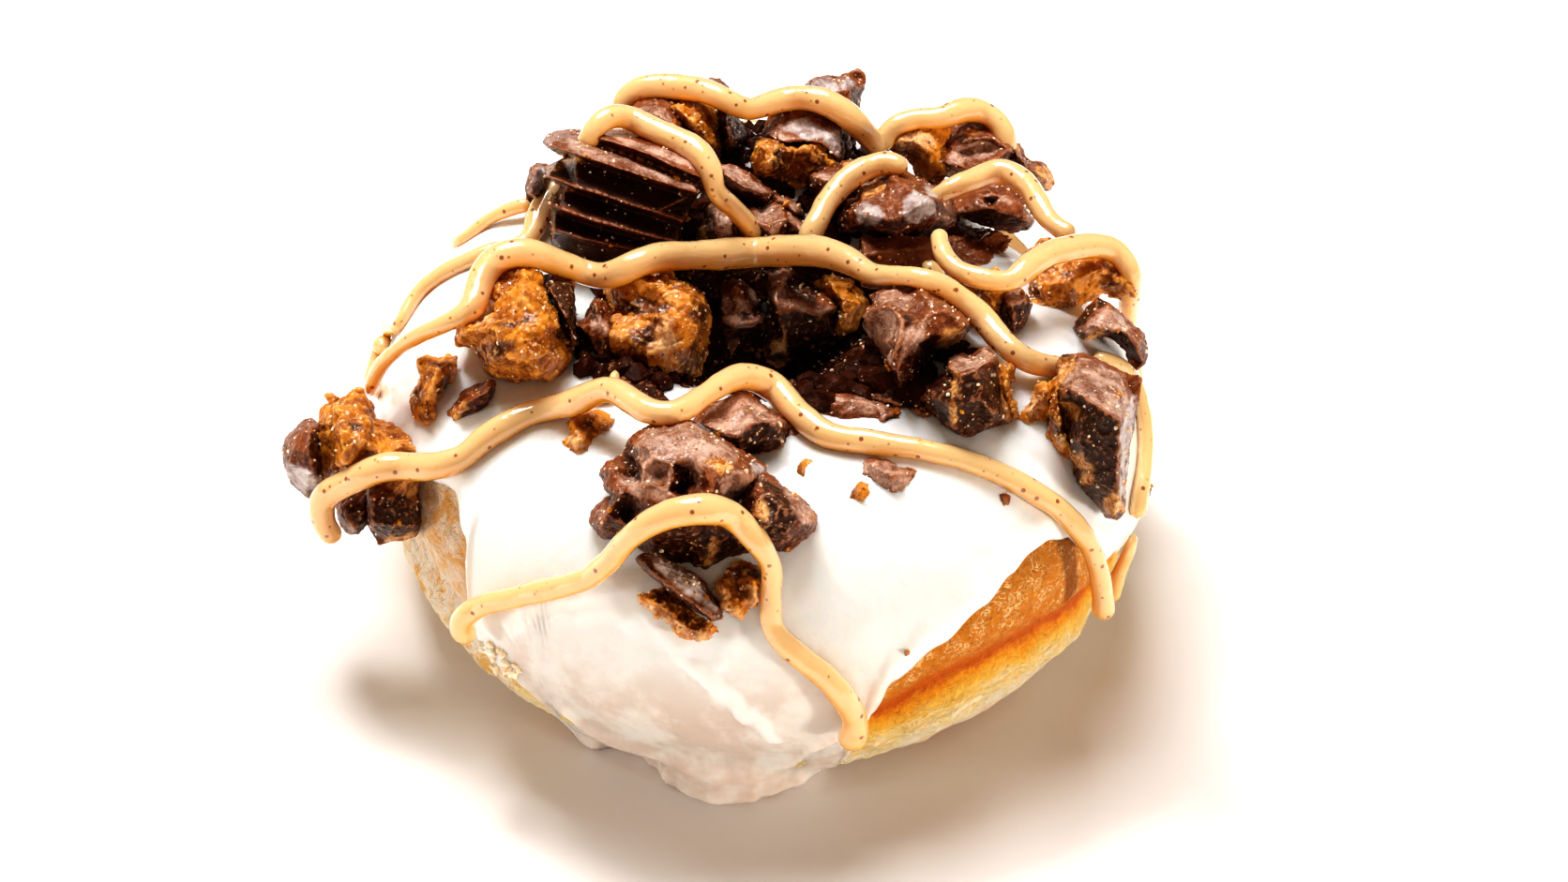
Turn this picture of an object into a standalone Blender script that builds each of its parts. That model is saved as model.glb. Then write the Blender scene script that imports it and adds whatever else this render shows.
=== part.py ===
"""A peanut butter mini doughnut: an iced dough ring under a pile of broken peanut butter cups.

The ring stands on the table with its hole upright. The side that faces -Y is the front.
"""

import math
import random
from collections import namedtuple

import bmesh
import bpy
from mathutils import Euler, Matrix, Vector

MM = 0.001
COLLECTION = "peanut_butter_mini_doughnut"

# Driving dimensions of the iced ring, in millimetres
RING_AXIS = (3.5, 0.2)
RING_RADIUS = 19.6
HALF_WIDTH = 13.4
HALF_HEIGHT = 13.2
OUTER_FULLNESS = 2.3
HOLE_FULLNESS = 2.8
ICING_THICKNESS = 1.0
DOUGH_INSET = 1.5
GAP = 0.3
BASE_SINK = 1.0

# Where the ring is uneven: azimuth and spread in degrees, change in width and in height
UNEVEN = (
    (38, 30, -2.6, -2.3),
    (-20, 35, -0.3, 0.3),
    (-75, 30, 0.3, 0.4),
    (150, 35, 0.2, -0.3),
)

# The crease between the two fried halves, on the ring's outer side
CREASE_TUBE = 2.0
CREASE_DEPTH = 0.9
CREASE_SPREAD = 8.0

# The icing's lower edge: azimuth round the ring, angle on the tube (0 outwards, 90 on top)
ICING_EDGE = (
    (-180, -6), (-165, 8), (-146, 38), (-137, 26), (-131, -10), (-124, -38), (-115, -74),
    (-84, -76), (-75, -16), (-70, 6), (-58, 20), (-48, 30), (-41, 26), (-30, 2), (-20, -6),
    (10, 4), (38, -14), (66, 2), (95, -18), (120, -2), (145, -20), (180, -6),
)
ICING_HOLE_EDGE = 205
SKIRT = (-119, -80)
SKIRT_FOOT = 30.3
SKIRT_WALL = 2.2
SKIRT_HEIGHT = 9.0

# How finely the two rings are cut: where each stretch starts and its steps, the finest of them
# where the icing's edge is steep
STRETCHES = ((-180, 4), (-140, 2), (-132, 9), (-114, 3), (-84, 8), (-68, 1), (-60, 6), (-18, 15))
DOUGH_TUBE = (
    -90, -75, -60, -45, -30, -18, -8, 0, 8, 18, 30, 45, 60, 75, 90, 105,
    120, 135, 150, 165, 180, 195, 210, 225, 240, 255,
)
ICING_OUTER_POINTS = 16
ICING_INNER_POINTS = 16

CHOCOLATE = "chocolate"
FILLING = "filling"
BLOCK_BREAKS = 8
VIEW_RISE = math.radians(41.5)

Topping = namedtuple("Topping", "name stuff place size turn breaks", defaults=[()])

# The broken cups, from the left round to the back: middle, size and turn of each piece. A break
# is a flat face at some angle round the piece, as seen from the front and above, and the
# millimetres that it leaves from the middle.
TOPPINGS = (
    Topping("left_cup_chocolate", CHOCOLATE, (-37.2, -11.8, 20.0), (4.4, 5.4, 6.2), (10, 20, 25),
            ((180, 1.8), (135, 2.6), (225, 2.0), (90, 3.2), (270, 3.5))),
    Topping("left_cup_filling", FILLING, (-32.4, -11.1, 22.2), (9.8, 6.8, 6.8), (0, 12, -15),
            ((45, 2.7), (270, 3.3), (0, 5.1), (180, 3.8))),
    Topping("left_lower_block", CHOCOLATE, (-29.6, -14.7, 16.3), (4.8, 4.2, 4.6), (5, 10, 30),
            ((0, 2.2), (180, 2.2), (45, 2.3))),
    Topping("left_lower_shard", CHOCOLATE, (-33.3, -13.7, 15.1), (2.4, 2.7, 3.0), (0, 15, 10)),
    Topping("left_filling_bit", FILLING, (-26.5, -9.4, 25.3), (2.8, 6.2, 2.4), (10, 20, -25)),
    Topping("left_flake", CHOCOLATE, (-23.2, -11.6, 26.2), (4.4, 2.8, 1.1), (25, -35, -30)),
    Topping("row_a_filling", FILLING, (-20.0, -8.1, 30.2), (10.6, 8.4, 8.6), (0, 8, 20),
            ((22, 3.3), (132, 3.3), (172, 4.5), (221, 4.5), (270, 4.6))),
    Topping("row_a_chocolate", CHOCOLATE, (-16.2, -5.6, 29.6), (1.8, 6.0, 7.0), (0, -16, 15)),
    Topping("row_b_filling", FILLING, (-8.5, -2.6, 26.3), (9.0, 8.2, 8.6), (0, 0, -10)),
    Topping("row_b_chocolate", CHOCOLATE, (-14.2, -5.2, 26.4), (3.8, 4.0, 6.2), (0, 8, 0)),
    Topping("row_c_chocolate", CHOCOLATE, (-2.2, 4.9, 21.3), (4.8, 4.6, 6.6), (10, 4, 5),
            ((0, 2.1), (180, 2.0), (90, 3.1), (320, 1.9))),
    Topping("row_d_chocolate", CHOCOLATE, (2.9, 5.3, 20.6), (7.2, 6.4, 7.8), (0, -5, -12),
            ((100, 4.4), (46, 2.9), (0, 3.3), (308, 3.0), (180, 3.0))),
    Topping("row_d_filling", FILLING, (5.9, 4.9, 21.7), (5.0, 5.2, 5.4), (0, 0, 10)),
    Topping("row_e_chocolate", CHOCOLATE, (12.1, -8.4, 29.9), (9.8, 7.2, 9.0), (0, 20, -8),
            ((90, 4.1), (45, 4.3), (0, 4.4), (310, 2.7), (207, 3.7), (180, 4.5))),
    Topping("row_f_chocolate", CHOCOLATE, (15.8, -14.9, 29.3), (9.4, 5.6, 7.4), (20, -10, 10),
            ((124, 2.4), (90, 4.0), (22, 3.0), (290, 3.1), (230, 3.1))),
    Topping("row_f_filling", FILLING, (19.4, -12.5, 28.6), (2.2, 3.2, 4.2), (10, 10, 0)),
    Topping("hole_shard", CHOCOLATE, (8.5, -14.7, 26.4), (9.0, 3.4, 1.9), (20, 4, -4),
            ((240, 1.4), (64, 1.4))),
    Topping("right_lump_filling", FILLING, (17.6, -1.6, 29.0), (4.8, 4.2, 3.6), (0, 10, 0)),
    Topping("right_lump_chocolate", CHOCOLATE, (20.1, -3.2, 28.3), (2.4, 2.8, 3.5), (0, 15, 10)),
    Topping("right_slab_filling", FILLING, (26.1, 3.7, 26.3), (10.6, 5.0, 3.4), (10, 4, 6),
            ((90, 2.9), (0, 4.9))),
    Topping("right_curved_chocolate", CHOCOLATE, (28.0, -3.4, 26.0), (7.4, 4.0, 3.8), (0, 34, -20),
            ((50, 1.8), (234, 1.5), (190, 2.7), (0, 3.1), (90, 2.9))),
    Topping("tall_block_chocolate", CHOCOLATE, (26.1, -16.0, 26.2), (7.8, 7.0, 12.5), (-14, -10, -18),
            ((0, 3.4), (180, 3.1), (90, 6.5), (206, 2.9), (349, 2.8), (66, 5.3), (270, 7.0))),
    Topping("tall_block_filling", FILLING, (22.9, -14.8, 27.5), (2.0, 5.5, 7.6), (-14, -8, -18)),
    Topping("right_bit", FILLING, (21.3, -13.4, 26.9), (3.0, 2.4, 3.2), (0, 10, 30)),
    Topping("front_left_chocolate", CHOCOLATE, (-6.3, -25.0, 29.2), (14.4, 8.0, 7.6), (24, 4, -4),
            ((130, 4.4), (90, 4.4), (58, 4.2), (180, 6.9), (0, 6.5), (225, 6.8))),
    Topping("front_right_chocolate", CHOCOLATE, (1.1, -27.3, 28.0), (6.8, 6.4, 6.0), (24, 14, 8),
            ((0, 3.1), (48, 2.0), (320, 2.6), (270, 3.0))),
    Topping("front_rear_chocolate", CHOCOLATE, (-1.2, -17.8, 28.7), (8.8, 5.2, 4.8), (0, 8, -6),
            ((90, 2.4), (45, 2.3), (117, 2.2), (270, 2.4))),
    Topping("front_slab", CHOCOLATE, (-5.6, -31.4, 23.6), (7.8, 3.0, 2.2), (30, 38, 0)),
    Topping("front_crumb", FILLING, (-1.9, -31.2, 23.4), (3.6, 3.2, 3.6), (0, 0, 0)),
    Topping("front_flake", FILLING, (-6.0, -31.8, 21.6), (7.0, 2.4, 1.9), (35, 24, 0)),
    Topping("left_plate", CHOCOLATE, (-19.2, 12.2, 28.4), (1.9, 4.4, 4.4), (0, 12, 0)),
    Topping("back_left_chocolate", CHOCOLATE, (-9.7, 19.0, 29.1), (5.2, 6.2, 4.8), (0, 14, 0)),
    Topping("back_left_filling", FILLING, (-6.3, 19.0, 29.3), (5.2, 5.6, 5.6), (0, 22, 10)),
    Topping("back_left_dark", CHOCOLATE, (-4.6, 21.3, 29.5), (3.6, 5.0, 5.8), (0, 5, 0)),
    Topping("back_mid_chocolate", CHOCOLATE, (3.2, 19.4, 28.0), (7.2, 5.4, 3.2), (0, 10, -10)),
    Topping("back_mid_filling", FILLING, (2.2, 16.5, 27.8), (6.8, 4.8, 4.2), (0, 6, -10)),
    Topping("back_spike", CHOCOLATE, (5.9, 25.0, 29.2), (6.4, 4.6, 6.4), (0, -20, 10),
            ((106, 2.3), (30, 3.5), (180, 3.0), (0, 2.8))),
    Topping("back_slab", CHOCOLATE, (-0.4, 12.8, 27.7), (8.4, 4.2, 1.8), (20, 28, 0)),
    Topping("back_small_left", CHOCOLATE, (-4.0, 9.0, 27.0), (3.6, 3.2, 3.8), (0, -8, 15)),
    Topping("back_small_middle", CHOCOLATE, (1.3, 9.9, 26.8), (6.2, 4.0, 3.4), (0, 12, 0),
            ((51, 1.6), (90, 1.8), (180, 2.8))),
    Topping("back_small_right", CHOCOLATE, (5.4, 14.7, 27.7), (4.2, 3.8, 3.6), (0, -15, 20)),
    Topping("glossy_block", CHOCOLATE, (10.9, 10.3, 27.4), (11.8, 7.2, 7.0), (8, -4, 6),
            ((90, 3.6), (0, 5.1), (147, 3.8), (60, 3.6), (270, 3.0), (305, 3.5), (180, 5.8))),
    Topping("glossy_block_foot", CHOCOLATE, (11.4, 7.7, 25.1), (6.0, 3.8, 3.0), (0, 0, 0)),
    Topping("back_right_lump", FILLING, (12.4, 21.1, 25.7), (4.8, 4.4, 3.8), (0, 5, 0)),
    Topping("back_right_slab", CHOCOLATE, (19.0, 23.5, 24.2), (7.8, 5.4, 3.0), (0, 12, -6),
            ((130, 2.2), (0, 3.6))),
    Topping("back_right_tip", CHOCOLATE, (23.8, 21.9, 23.7), (3.4, 3.4, 2.2), (0, 24, 0)),
    Topping("back_right_under", CHOCOLATE, (19.8, 16.1, 23.6), (7.4, 4.4, 2.5), (0, -4, -6)),
)

# The cup side that shows its flutes, which ran up the paper case
FLUTED_PLACE = (-12.1, 8.0, 30.5)
FLUTED_TURN = (-14, 14, -6)
FLUTED_ENDS = (-7.7, 6.6)
FLUTE_COUNT = 5
FLUTE_PITCH = 2.35
FLUTE_DEPTH = 0.9
FLUTED_WALL = 5.6
CUP_RADIUS = 14.0
RIM_STEP = 0.5

COLOURS = {
    "dough": ((0.62, 0.30, 0.09), 0.65),
    "icing": ((0.90, 0.86, 0.80), 0.2),
    CHOCOLATE: ((0.16, 0.065, 0.035), 0.4),
    FILLING: ((0.50, 0.20, 0.05), 0.5),
}


def clear_scene():
    """Start from an empty scene."""
    for item in list(bpy.data.objects):
        bpy.data.objects.remove(item, do_unlink=True)


def new_collection(name):
    """A collection linked to the scene."""
    made = bpy.data.collections.new(name)
    bpy.context.scene.collection.children.link(made)
    return made


def finish_material(name, stuff):
    """One plain finish for one piece."""
    colour, roughness = COLOURS[stuff]
    made = bpy.data.materials.new(name)
    made.use_nodes = True
    shader = made.node_tree.nodes["Principled BSDF"]
    shader.inputs["Base Color"].default_value = (*colour, 1.0)
    shader.inputs["Roughness"].default_value = roughness
    shader.inputs["Metallic"].default_value = 0.0
    made.diffuse_color = (*colour, 1.0)
    return made


def add_object(name, shape, stuff, home):
    """Turn a millimetre bmesh into a named object in metres, standing on the ring's axis."""
    bmesh.ops.translate(shape, vec=Vector((*RING_AXIS, 0.0)), verts=shape.verts)
    bmesh.ops.scale(shape, vec=Vector((MM, MM, MM)), verts=shape.verts)
    bmesh.ops.recalc_face_normals(shape, faces=shape.faces)
    mesh = bpy.data.meshes.new(name)
    shape.to_mesh(mesh)
    shape.free()
    mesh.shade_smooth()
    mesh.set_sharp_from_angle(angle=math.radians(35))
    made = bpy.data.objects.new(name, mesh)
    made.data.materials.append(finish_material(name, stuff))
    home.objects.link(made)
    return made


def bell(angle, middle, spread):
    """A smooth bump of height 1 round an azimuth, both in degrees."""
    away = (angle - middle + 180.0) % 360.0 - 180.0
    return math.exp(-((away / spread) ** 2))


def smooth_step(low, high, value):
    """From 0 at low to 1 at high, level at both ends."""
    share = min(max((value - low) / (high - low), 0.0), 1.0)
    return share * share * (3.0 - 2.0 * share)


def read_edge(azimuth):
    """The tube angle of the icing's lower edge at an azimuth."""
    for (start, low), (end, high) in zip(ICING_EDGE, ICING_EDGE[1:]):
        if start <= azimuth <= end:
            return low + (high - low) * smooth_step(start, end, azimuth)
    return ICING_EDGE[0][1]


def ring_size(azimuth):
    """Half width and half height of the iced ring at an azimuth."""
    width = HALF_WIDTH
    height = HALF_HEIGHT
    for middle, spread, wider, higher in UNEVEN:
        width += wider * bell(azimuth, middle, spread)
        height += higher * bell(azimuth, middle, spread)
    return width, height


def section_point(azimuth, tube, grow):
    """Radius and height of the ring's rounded section, grown outwards by some millimetres."""
    width, height = ring_size(azimuth)
    side = math.cos(math.radians(tube))
    rise = math.sin(math.radians(tube))
    fullness = OUTER_FULLNESS if side > 0 else HOLE_FULLNESS
    power = 2.0 / fullness
    out = math.copysign(abs(side) ** power, side) * (width + grow)
    up = math.copysign(abs(rise) ** power, rise) * (height + grow)
    under = abs(math.remainder(tube + 90.0, 360.0))
    sink = BASE_SINK * (1.0 - smooth_step(45.0, 70.0, under))
    return RING_RADIUS + out, height + up - sink


def to_space(azimuth, radius, height):
    """A point from its azimuth, radius and height."""
    turn = math.radians(azimuth)
    return Vector((radius * math.cos(turn), radius * math.sin(turn), height))


def ring_azimuths():
    """The azimuths at which the rings are cut, once round."""
    azimuths = []
    ends = [start for start, _ in STRETCHES[1:]] + [180]
    for (start, steps), end in zip(STRETCHES, ends):
        azimuths += [start + (end - start) * step / steps for step in range(steps)]
    return azimuths


def loft_ring(section):
    """Join the closed sections at every azimuth into one ring."""
    shape = bmesh.new()
    rings = []
    for azimuth in ring_azimuths():
        rings.append([shape.verts.new(to_space(azimuth, *point)) for point in section(azimuth)])
    for ring, following in zip(rings, rings[1:] + rings[:1]):
        count = len(ring)
        for i in range(count):
            j = (i + 1) % count
            shape.faces.new((ring[i], ring[j], following[j], following[i]))
    return shape


def dough_section(azimuth):
    """The dough's section: inside the icing above, full below, creased, flat underneath."""
    points = []
    for tube in DOUGH_TUBE:
        outer_side = -90 <= tube <= 90
        lower = 1.0 - smooth_step(-40.0, -5.0, tube) if outer_side else 0.0
        under = DOUGH_INSET * (1.0 - 0.8 * lower)
        radius, height = section_point(azimuth, tube, -under)
        groove = math.exp(-(((tube - CREASE_TUBE) / CREASE_SPREAD) ** 2)) if outer_side else 0.0
        points.append((radius - CREASE_DEPTH * groove, max(height, 0.0)))
    return points


def in_skirt(azimuth):
    """How far the icing's front skirt hangs down here, from 0 to 1."""
    start, end = SKIRT
    return smooth_step(start - 6.0, start, azimuth) * (1.0 - smooth_step(end, end + 5.0, azimuth))


def icing_point(azimuth, tube, grow, foot):
    """A point of the icing's wall, which drops to the table where the skirt hangs."""
    radius, height = section_point(azimuth, tube, grow)
    outward = tube < 90.0
    hang = in_skirt(azimuth) * (1.0 - smooth_step(2.0, SKIRT_HEIGHT, height)) if outward else 0.0
    radius += (max(radius, foot) - radius) * hang
    return radius, max(height - hang * 0.6, 0.0)


def icing_section(azimuth):
    """The icing's section: over the outside from the hole to the edge, back along the inside."""
    edge = read_edge(azimuth)
    points = []
    for i in range(ICING_OUTER_POINTS):
        share = i / (ICING_OUTER_POINTS - 1)
        tube = ICING_HOLE_EDGE + (edge - ICING_HOLE_EDGE) * share
        thin = 0.45 * max(smooth_step(0.93, 1.0, share), 1.0 - smooth_step(0.0, 0.07, share))
        points.append(icing_point(azimuth, tube, -thin * ICING_THICKNESS, SKIRT_FOOT))
    for i in range(ICING_INNER_POINTS):
        share = 1.0 - i / (ICING_INNER_POINTS - 1)
        tube = ICING_HOLE_EDGE + (edge - ICING_HOLE_EDGE) * share
        low = 1.0 - smooth_step(-40.0, -5.0, tube)
        inside = ICING_THICKNESS * (1.0 - 0.9 * low)
        points.append(icing_point(azimuth, tube, -inside, SKIRT_FOOT - SKIRT_WALL))
    return points


def envelope_section(azimuth):
    """The iced ring grown by the gap, which trims the underside of whatever lies on it."""
    return [section_point(azimuth, tube, GAP) for tube in DOUGH_TUBE]


def slice_off(shape, point, normal):
    """Break off everything beyond a plane, and close the broken face."""
    everything = shape.verts[:] + shape.edges[:] + shape.faces[:]
    bmesh.ops.bisect_plane(
        shape, geom=everything, dist=1e-5, plane_co=point, plane_no=normal, clear_outer=True
    )
    rim = [edge for edge in shape.edges if edge.is_boundary]
    bmesh.ops.holes_fill(shape, edges=rim, sides=0)


def reach(shape, normal):
    """How far a shape reaches along a direction."""
    return max(vert.co.dot(normal) for vert in shape.verts)


def random_direction(rng):
    """An even random direction."""
    up = rng.uniform(-1.0, 1.0)
    turn = rng.uniform(0.0, math.tau)
    flat = math.sqrt(1.0 - up * up)
    return Vector((flat * math.cos(turn), flat * math.sin(turn), up))


def hull_of(points):
    """The closed convex skin round some points."""
    shape = bmesh.new()
    verts = [shape.verts.new(point) for point in points]
    hull = bmesh.ops.convex_hull(shape, input=verts)
    inside = [item for item in hull["geom_interior"] if isinstance(item, bmesh.types.BMVert)]
    bmesh.ops.delete(shape, geom=inside, context="VERTS")
    return shape


def primitive_points(create, rng, low, high, **sizes):
    """A primitive's corners, each pushed in or out at random."""
    shape = bmesh.new()
    create(shape, **sizes)
    points = [vert.co * rng.uniform(low, high) for vert in shape.verts]
    shape.free()
    return points


def broken_block(size, rng):
    """Hard chocolate: a block whose corners and edges have broken off in flat faces."""
    shape = hull_of(primitive_points(bmesh.ops.create_cube, rng, 0.92, 1.08, size=1.0))
    for _ in range(BLOCK_BREAKS):
        normal = random_direction(rng)
        slice_off(shape, normal * reach(shape, normal) * rng.uniform(0.74, 0.9), normal)
    bmesh.ops.scale(shape, vec=Vector(size), verts=shape.verts)
    return shape


def crumbled_lump(size, rng):
    """Soft filling: a lump that has crumbled to a rounder, knobbly form."""
    ball = primitive_points(
        bmesh.ops.create_icosphere, rng, 0.84, 1.08, subdivisions=2, radius=0.56
    )
    shape = hull_of(ball)
    bmesh.ops.scale(shape, vec=Vector(size), verts=shape.verts)
    return shape


def seen_direction(angle):
    """The direction that lies at an angle on the object as seen from the front and above."""
    turn = math.radians(angle)
    upward = Vector((0.0, math.sin(VIEW_RISE), math.cos(VIEW_RISE)))
    return Vector((math.cos(turn), 0.0, 0.0)) + upward * math.sin(turn)


def place_shape(shape, place, turn):
    """Turn a shape, in degrees, and put its middle in place."""
    angles = Euler([math.radians(angle) for angle in turn])
    bmesh.ops.transform(
        shape, matrix=Matrix.Translation(place) @ angles.to_matrix().to_4x4(), verts=shape.verts
    )


def make_topping(topping):
    """One broken piece, in its place."""
    rng = random.Random(topping.name)
    make_shape = broken_block if topping.stuff == CHOCOLATE else crumbled_lump
    shape = make_shape(topping.size, rng)
    place_shape(shape, topping.place, topping.turn)
    for angle, left in topping.breaks:
        normal = seen_direction(angle)
        slice_off(shape, Vector(topping.place) + normal * left, normal)
    return shape


def make_fluted_side():
    """A piece of a cup's side, with the flutes of its paper case lying across the ring."""
    steps = FLUTE_COUNT * 4
    span = FLUTE_COUNT * FLUTE_PITCH / CUP_RADIUS
    outline = []
    for i in range(steps + 1):
        angle = span * (i / steps - 0.5)
        flute = abs(math.sin(math.pi * i / 4))
        radius = CUP_RADIUS + (RIM_STEP if i > steps - 4 else -FLUTE_DEPTH * flute)
        out = CUP_RADIUS - FLUTED_WALL / 2 - radius * math.cos(angle)
        outline.append((out, radius * math.sin(angle)))
    outline += [(FLUTED_WALL / 2, outline[-1][1] * 0.75), (FLUTED_WALL / 2, outline[0][1] * 0.7)]
    shape = bmesh.new()
    end = shape.faces.new([shape.verts.new((FLUTED_ENDS[0], y, z)) for y, z in outline])
    grown = bmesh.ops.extrude_face_region(shape, geom=[end])
    far = [item for item in grown["geom"] if isinstance(item, bmesh.types.BMVert)]
    for vert in far:
        vert.co = Vector((FLUTED_ENDS[1], vert.co.y * 0.92, vert.co.z * 0.86))
    bmesh.ops.recalc_face_normals(shape, faces=shape.faces)
    slice_off(shape, Vector((6.2, 0, 0)), Vector((1.0, -0.25, -0.35)).normalized())
    slice_off(shape, Vector((-6.3, 0, 0)), Vector((-1.0, 0.2, -0.25)).normalized())
    place_shape(shape, FLUTED_PLACE, FLUTED_TURN)
    return shape


def face_directions(shape):
    """The directions in which a shape has a face."""
    shape.normal_update()
    return [face.normal.copy() for face in shape.faces if face.calc_area() > 0.5]


def part_neighbours(first, second):
    """Where two pieces run into each other, break both back to a flat joint with a gap."""
    best = None
    for normal in face_directions(first) + [-way for way in face_directions(second)]:
        overlap = reach(first, normal) + reach(second, -normal)
        if best is None or overlap < best[0]:
            best = (overlap, normal)
    overlap, normal = best
    if overlap <= -GAP:
        return
    middle = (reach(first, normal) - reach(second, -normal)) / 2
    slice_off(first, normal * (middle - GAP / 2), normal)
    slice_off(second, normal * (middle + GAP / 2), -normal)


def trim_underside(piece, cutter):
    """Cut a piece back to just clear of the icing that it lies on."""
    cut = piece.modifiers.new("icing_below", "BOOLEAN")
    cut.operation = "DIFFERENCE"
    cut.solver = "EXACT"
    cut.object = cutter


def build():
    """Make every piece of the doughnut."""
    clear_scene()
    home = new_collection(COLLECTION)
    cutters = new_collection("cutters")
    add_object("dough_ring", loft_ring(dough_section), "dough", home)
    add_object("icing", loft_ring(icing_section), "icing", home)
    cutter = add_object("icing_envelope", loft_ring(envelope_section), "icing", cutters)
    cutter.hide_render = True
    cutter.display_type = "WIRE"

    shapes = {topping.name: make_topping(topping) for topping in TOPPINGS}
    stuffs = {topping.name: topping.stuff for topping in TOPPINGS}
    shapes["fluted_cup_side"] = make_fluted_side()
    stuffs["fluted_cup_side"] = CHOCOLATE
    names = list(shapes)
    for index, name in enumerate(names):
        for other in names[index + 1:]:
            part_neighbours(shapes[name], shapes[other])
    for name in names:
        piece = add_object(name, shapes[name], stuffs[name], home)
        trim_underside(piece, cutter)


build()
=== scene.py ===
"""The looks of a peanut butter mini doughnut: fried dough, white icing, broken cups and drizzle."""

import math

import bmesh
import bpy
import numpy as np
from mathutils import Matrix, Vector, noise
from mathutils.bvhtree import BVHTree
from mathutils.geometry import delaunay_2d_cdt


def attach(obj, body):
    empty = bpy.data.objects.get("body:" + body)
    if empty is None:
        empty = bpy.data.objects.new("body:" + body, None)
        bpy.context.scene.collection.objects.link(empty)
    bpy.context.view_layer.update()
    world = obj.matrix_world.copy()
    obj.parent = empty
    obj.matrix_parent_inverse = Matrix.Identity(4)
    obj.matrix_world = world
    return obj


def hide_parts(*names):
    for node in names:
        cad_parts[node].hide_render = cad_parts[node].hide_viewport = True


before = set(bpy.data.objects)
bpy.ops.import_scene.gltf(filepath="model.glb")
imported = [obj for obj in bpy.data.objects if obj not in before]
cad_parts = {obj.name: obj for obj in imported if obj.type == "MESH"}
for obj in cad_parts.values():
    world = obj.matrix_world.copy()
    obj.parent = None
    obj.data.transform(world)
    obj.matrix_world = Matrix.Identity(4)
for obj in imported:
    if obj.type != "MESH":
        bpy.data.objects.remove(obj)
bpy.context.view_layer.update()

# The camera stands in front of the doughnut and looks down on it from 25 cm away, as for a close
# food picture. A pixel of the frame becomes a line of sight for the toppings further down.
MM = 0.001
RING_AXIS = Vector((3.5, 0.2, 0.0)) * MM
FRAME_WIDTH, FRAME_HEIGHT = 1672, 941
FOCAL_PIXELS = 3110
VIEW_RISE = math.radians(41.5)
VIEW_DISTANCE = 250 * MM
view_target = RING_AXIS + Vector((1.5, 0.0, 11.2)) * MM
view_back = Vector((0.0, -math.cos(VIEW_RISE), math.sin(VIEW_RISE)))


def new_object(name, data):
    """A new object in the scene."""
    made = bpy.data.objects.new(name, data)
    bpy.context.scene.collection.objects.link(made)
    return made


lens = bpy.data.cameras.new("camera")
lens.sensor_width = 36.0
lens.lens = FOCAL_PIXELS / FRAME_WIDTH * lens.sensor_width
lens.clip_start = 0.01
camera = new_object("camera", lens)
camera.location = view_target + view_back * VIEW_DISTANCE
camera.rotation_euler = (-view_back).to_track_quat("-Z", "Y").to_euler()
bpy.context.scene.camera = camera
bpy.context.scene.view_settings.view_transform = "Standard"
bpy.context.scene.view_settings.look = "High Contrast"
bpy.context.view_layer.update()


def line_of_sight(across, down):
    """The direction from the camera through a pixel of the frame."""
    way = Vector(
        ((across - FRAME_WIDTH / 2) / FOCAL_PIXELS, (FRAME_HEIGHT / 2 - down) / FOCAL_PIXELS, -1.0)
    )
    return (camera.matrix_world.to_3x3() @ way).normalized()


# The pale table top and the soft light: a large lamp above and behind, with a small one for
# sparkle, weaker warm lamps from the left, the front and low on the right, and a warm glow from
# all round. A lamp has its place, size, power, colour and whether the gloss mirrors it.
LAMPS = (
    ("key_lamp", (-0.03, 0.20, 0.56), 0.28, 2.45, (1.0, 1.0, 1.0), True),
    ("side_lamp", (-0.50, -0.15, 0.05), 0.08, 0.85, (1.0, 0.95, 0.88), False),
    ("spark_lamp", (-0.16, 0.22, 0.50), 0.09, 0.85, (1.0, 1.0, 1.0), True),
    ("front_lamp", (0.06, -0.45, 0.20), 0.30, 0.23, (1.0, 0.93, 0.86), False),
    ("low_lamp", (0.46, -0.32, 0.045), 0.07, 1.45, (1.0, 0.92, 0.82), False),
)
GLOW_COLOUR = (1.0, 0.69, 0.46, 1.0)
GLOW_STRENGTH = 0.175
TABLE_COLOUR = (0.92, 0.92, 0.92, 1.0)
TABLE_ROUGHNESS = 0.7
for lamp_name, lamp_place, lamp_size, lamp_power, lamp_colour, mirrored in LAMPS:
    lamp = bpy.data.lights.new(lamp_name, "AREA")
    lamp.size = lamp_size
    lamp.energy = lamp_power
    lamp.color = lamp_colour
    lamp_object = new_object(lamp_name, lamp)
    lamp_object.location = lamp_place
    lamp_object.visible_glossy = mirrored
    lamp_object.rotation_euler = (view_target - Vector(lamp_place)).to_track_quat("-Z", "Y").to_euler()
glow = bpy.data.worlds.new("soft_glow")
glow.use_nodes = True
glow_light = glow.node_tree.nodes["Background"]
glow_light.inputs["Color"].default_value = GLOW_COLOUR
glow_light.inputs["Strength"].default_value = GLOW_STRENGTH
bpy.context.scene.world = glow
bpy.ops.mesh.primitive_plane_add(size=4.0)
floor = bpy.context.object
floor.name = "table_top"
floor_paint = bpy.data.materials.new("table_top")
floor_paint.use_nodes = True
floor_shader = floor_paint.node_tree.nodes["Principled BSDF"]
floor_shader.inputs["Base Color"].default_value = TABLE_COLOUR
floor_shader.inputs["Roughness"].default_value = TABLE_ROUGHNESS
floor.data.materials.append(floor_paint)


# The fried dough ring, of yeast dough: browned and fuzzy above, creased where its two fried
# halves meet, pale in a band below the crease, and browned again underneath.
RING_RADIUS = 19.6
HALF_WIDTH = 13.4
HALF_HEIGHT = 13.2
OUTER_FULLNESS = 2.3
HOLE_FULLNESS = 2.8
BASE_SINK = 1.0
DOUGH_INSET = 1.15
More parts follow.
